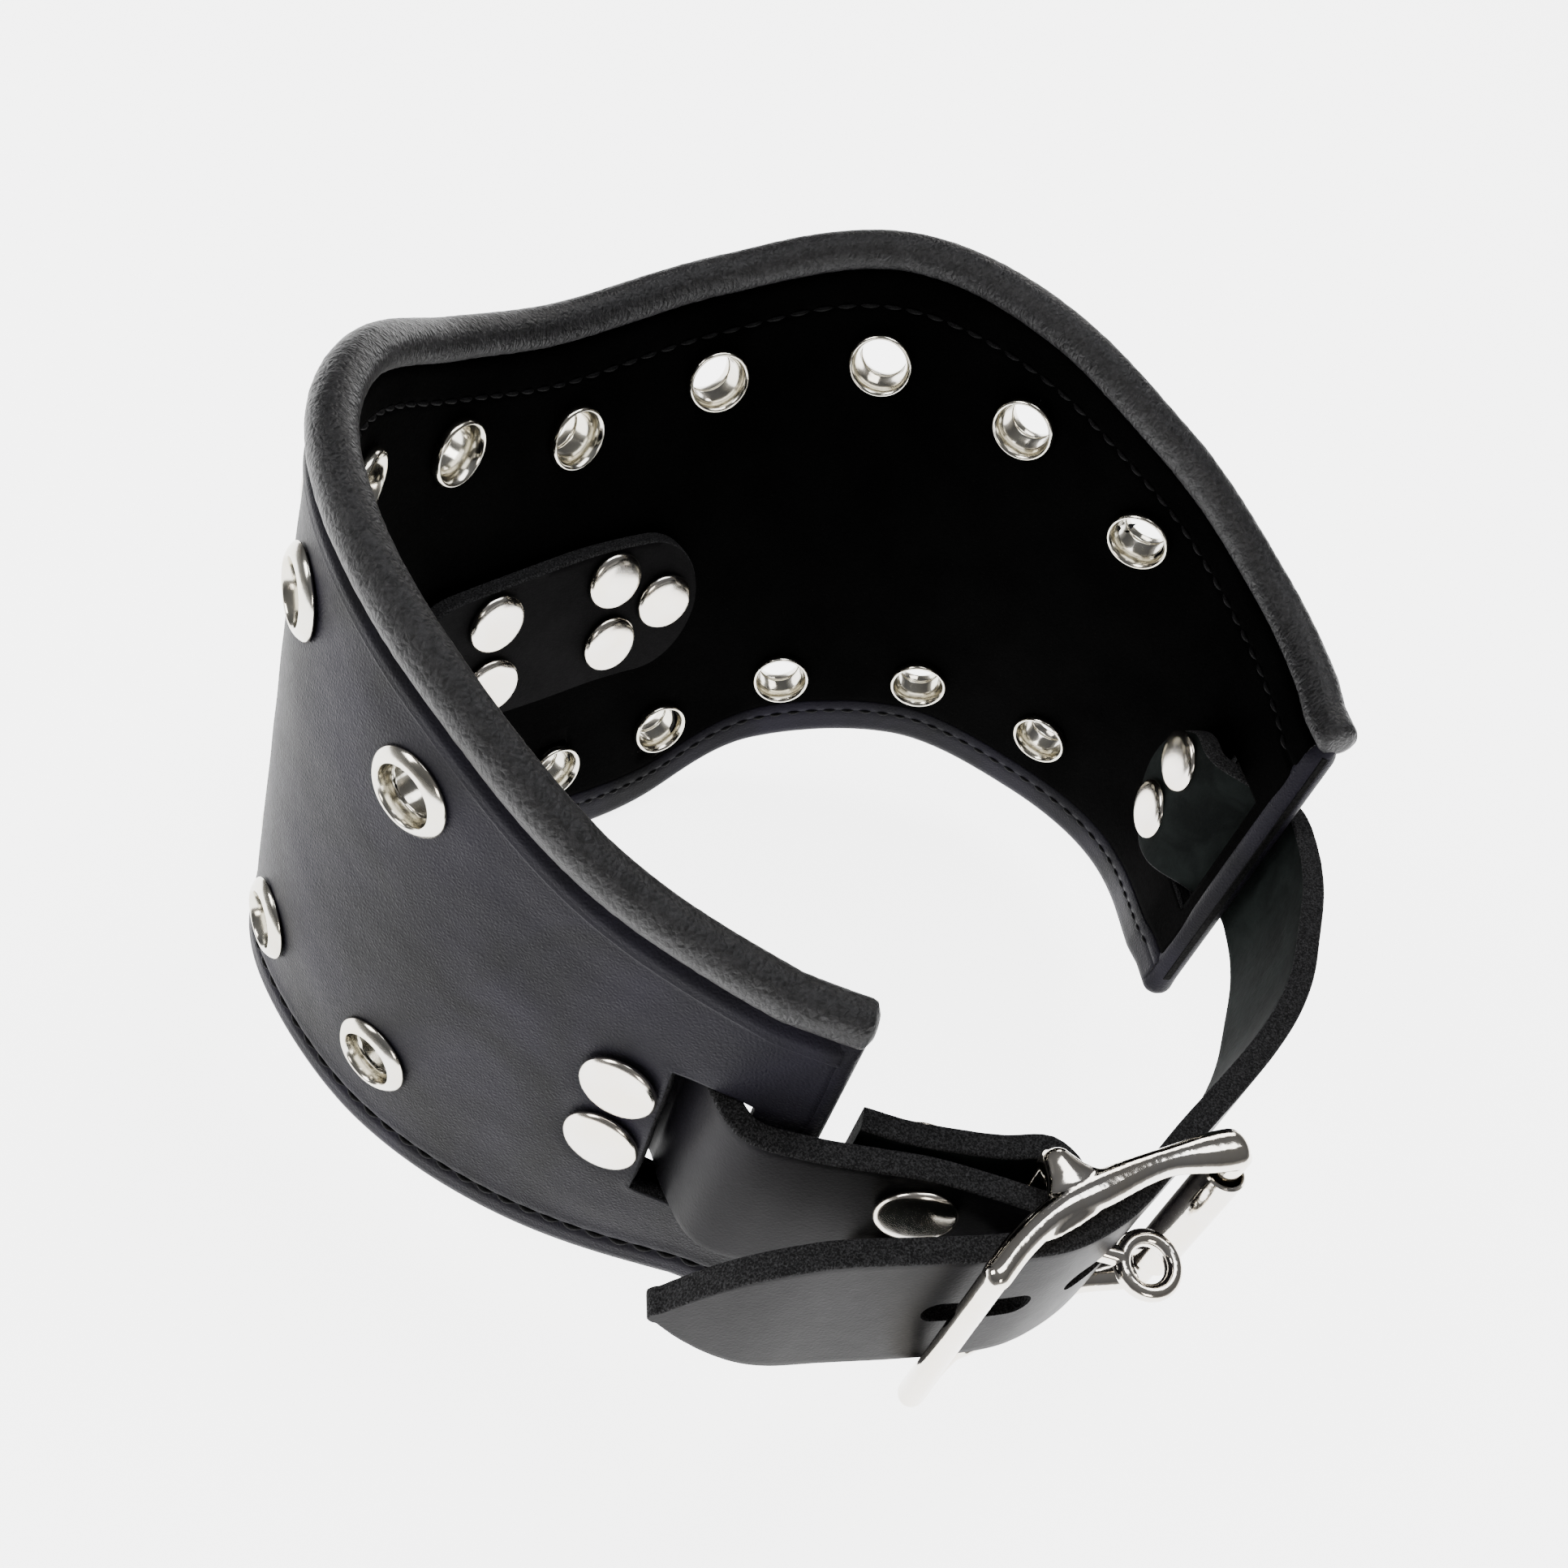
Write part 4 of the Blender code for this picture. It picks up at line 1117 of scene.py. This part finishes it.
def make_straps():
    bm = bmesh.new()
    add_strap(bm, strap_entry(1) + list(BILLET_ROUTE), TIP_LENGTH)
    billet = as_solid(bm, "billet_leather", ("face", "flesh", "edge"))
    cut(billet, [oblong_cutter(*slot) for slot in BILLET_SLOTS])
    settle(billet, "strap", "billet_strap")
    bm = bmesh.new()
    add_strap(bm, strap_entry(-1) + list(CHAPE_ROUTE) + fold_arc() + list(TAIL_ROUTE), 0.0)
    chape = as_solid(bm, "chape_leather", ("flesh", "face", "edge"))
    cut(chape, [notch_cutter()])
    settle(chape, "strap", "chape_strap")


# ---- buckle ------------
def make_buckle_frame():
    """Cast frame: flattened near bar, waisted side rails, lugs, centre bar and roller bar."""
    bm = bmesh.new()
    near = Vector((*NEAR_BAR, 0))
    run = (Vector((*RAIL_ROUTE[1], 0)) - near).normalized()
    for z in (STRAP_HEIGHT - RAIL_HALF, STRAP_HEIGHT + RAIL_HALF):
        path = [Vector((p.x, p.y, z)) for p in spline(RAIL_ROUTE, 1.0)]
        last = len(path) - 1
        shares = [i / last for i in range(len(path))]
        widths = [1.75 + 0.55 * bump(t - 0.48, 0.16) + 1.0 * ramp(t, 0.72, 0.97) for t in shares]
        heights = [1.75 + 0.15 * bump(t - 0.45, 0.2) + 0.3 * ramp(t, 0.75, 1.0) for t in shares]
        add_tube(bm, path, widths, heights, round_ends=1.7)
        lug = [Vector((*place, z)) for place in LUG_ROUTE]
        add_tube(bm, lug, [2.1, 3.0, 4.4, 6.6, 9.5], [1.7, 1.65, 1.55, 1.4, 1.1], round_ends=1.6)
    low = STRAP_HEIGHT - RAIL_HALF
    high = STRAP_HEIGHT + RAIL_HALF
    up = [low + (high - low) * i / 24 for i in range(25)]
    crowned = [2.15 - 0.25 * abs(2 * i / 24 - 1) ** 3 for i in range(25)]
    add_tube(bm, [near + Vector((0, 0, z)) for z in up], crowned, 1.6, side=run, round_ends=1.4)
    for plan, radius in ((CENTRE_BAR, BAR_RADIUS - 0.1), (FAR_BAR, BAR_RADIUS - 0.15)):
        add_tube(bm, [Vector((*plan, z)) for z in up], radius, radius, side=(1, 0, 0))
    obj = as_solid(bm, "cast_buckle_frame", ("cast",))
    fuse(obj, 0.27, 5)
    settle(obj, "buckle", "buckle_frame", body="buckle")


def make_roller():
    """Rolled tube on the far bar, with its open seam turned inwards."""
    half = ROLLER_LENGTH / 2
    lip = ROLLER_LIP
    section = ((ROLLER_BORE, -half + lip), (ROLLER_BORE + 0.15, -half), (ROLLER_RADIUS - lip, -half),
               (ROLLER_RADIUS, -half + lip), (ROLLER_RADIUS, half - lip), (ROLLER_RADIUS - lip, half),
               (ROLLER_BORE + 0.15, half), (ROLLER_BORE, half - lip))
    opening = math.radians(ROLLER_GAP)
    steps = 60
    rings = []
    for k in range(steps + 1):
        angle = math.radians(ROLLER_SEAM) + opening + (2 * math.pi - 2 * opening) * k / steps
        spoke = Vector((math.cos(angle), math.sin(angle), 0))
        rings.append([Vector((*FAR_BAR, STRAP_HEIGHT + height)) + spoke * radius
                      for radius, height in section])
    bm = bmesh.new()
    add_rings(bm, rings)
    settle(as_solid(bm, "rolled_tube", ("cast",), 40), "buckle", "buckle_roller", body="roller")


def make_tongue():
    """Locking tongue: barrel on the centre bar, tapered shank and lock eye."""
    pivot = Vector((*CENTRE_BAR, STRAP_HEIGHT))
    aim = Vector((*TONGUE_AIM, 0)).normalized()
    half = TONGUE_HEIGHT / 2
    bm = bmesh.new()
    section = ((TONGUE_BORE, -half), (TONGUE_BARREL, -half), (TONGUE_BARREL, half), (TONGUE_BORE, half))
    add_turned(bm, pivot, (0, 0, 1), section, 48, closed=True)
    shank = [pivot + aim * reach for reach in (3.1, 5.0, 7.0, 9.0, 11.0, 13.0, 14.9)]
    widths = [1.75, 1.6, 1.5, 1.4, 1.35, 1.3, 1.25]
    heights = [2.2, 2.0, 1.75, 1.5, 1.4, 1.3, 1.25]
    add_tube(bm, shank, widths, heights, sides=24)
    out = Vector((aim.y, -aim.x, 0))
    tilt = math.radians(EYE_TILT)
    normal = Vector((0, 0, 1)) * math.cos(tilt) + out * math.sin(tilt)
    circle = [2 * math.pi * k / 16 for k in range(16)]
    section = [(EYE_RADIUS + EYE_WIRE * math.cos(a), EYE_WIRE * math.sin(a)) for a in circle]
    add_turned(bm, pivot + aim * TONGUE_REACH, normal, section, 64, closed=True)
    obj = as_solid(bm, "lock_tongue", ("cast",))
    fuse(obj, 0.18, 4)
    settle(obj, "buckle", "buckle_tongue", body="tongue")


def dress_stiffener():
    """The stiffener is shown by its CAD solid, in its own material."""
    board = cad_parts["stiffener"]
    board.data.materials.clear()
    board.data.materials.append(MATERIALS["board"])


make_camera()
make_lights()
make_world()
make_floor()
make_outer_leather()
make_lining()
make_end_folds()
make_top_roll()
make_seams()
make_band()
make_eyelets()
make_rivets()
make_straps()
make_buckle_frame()
make_roller()
make_tongue()
dress_stiffener()
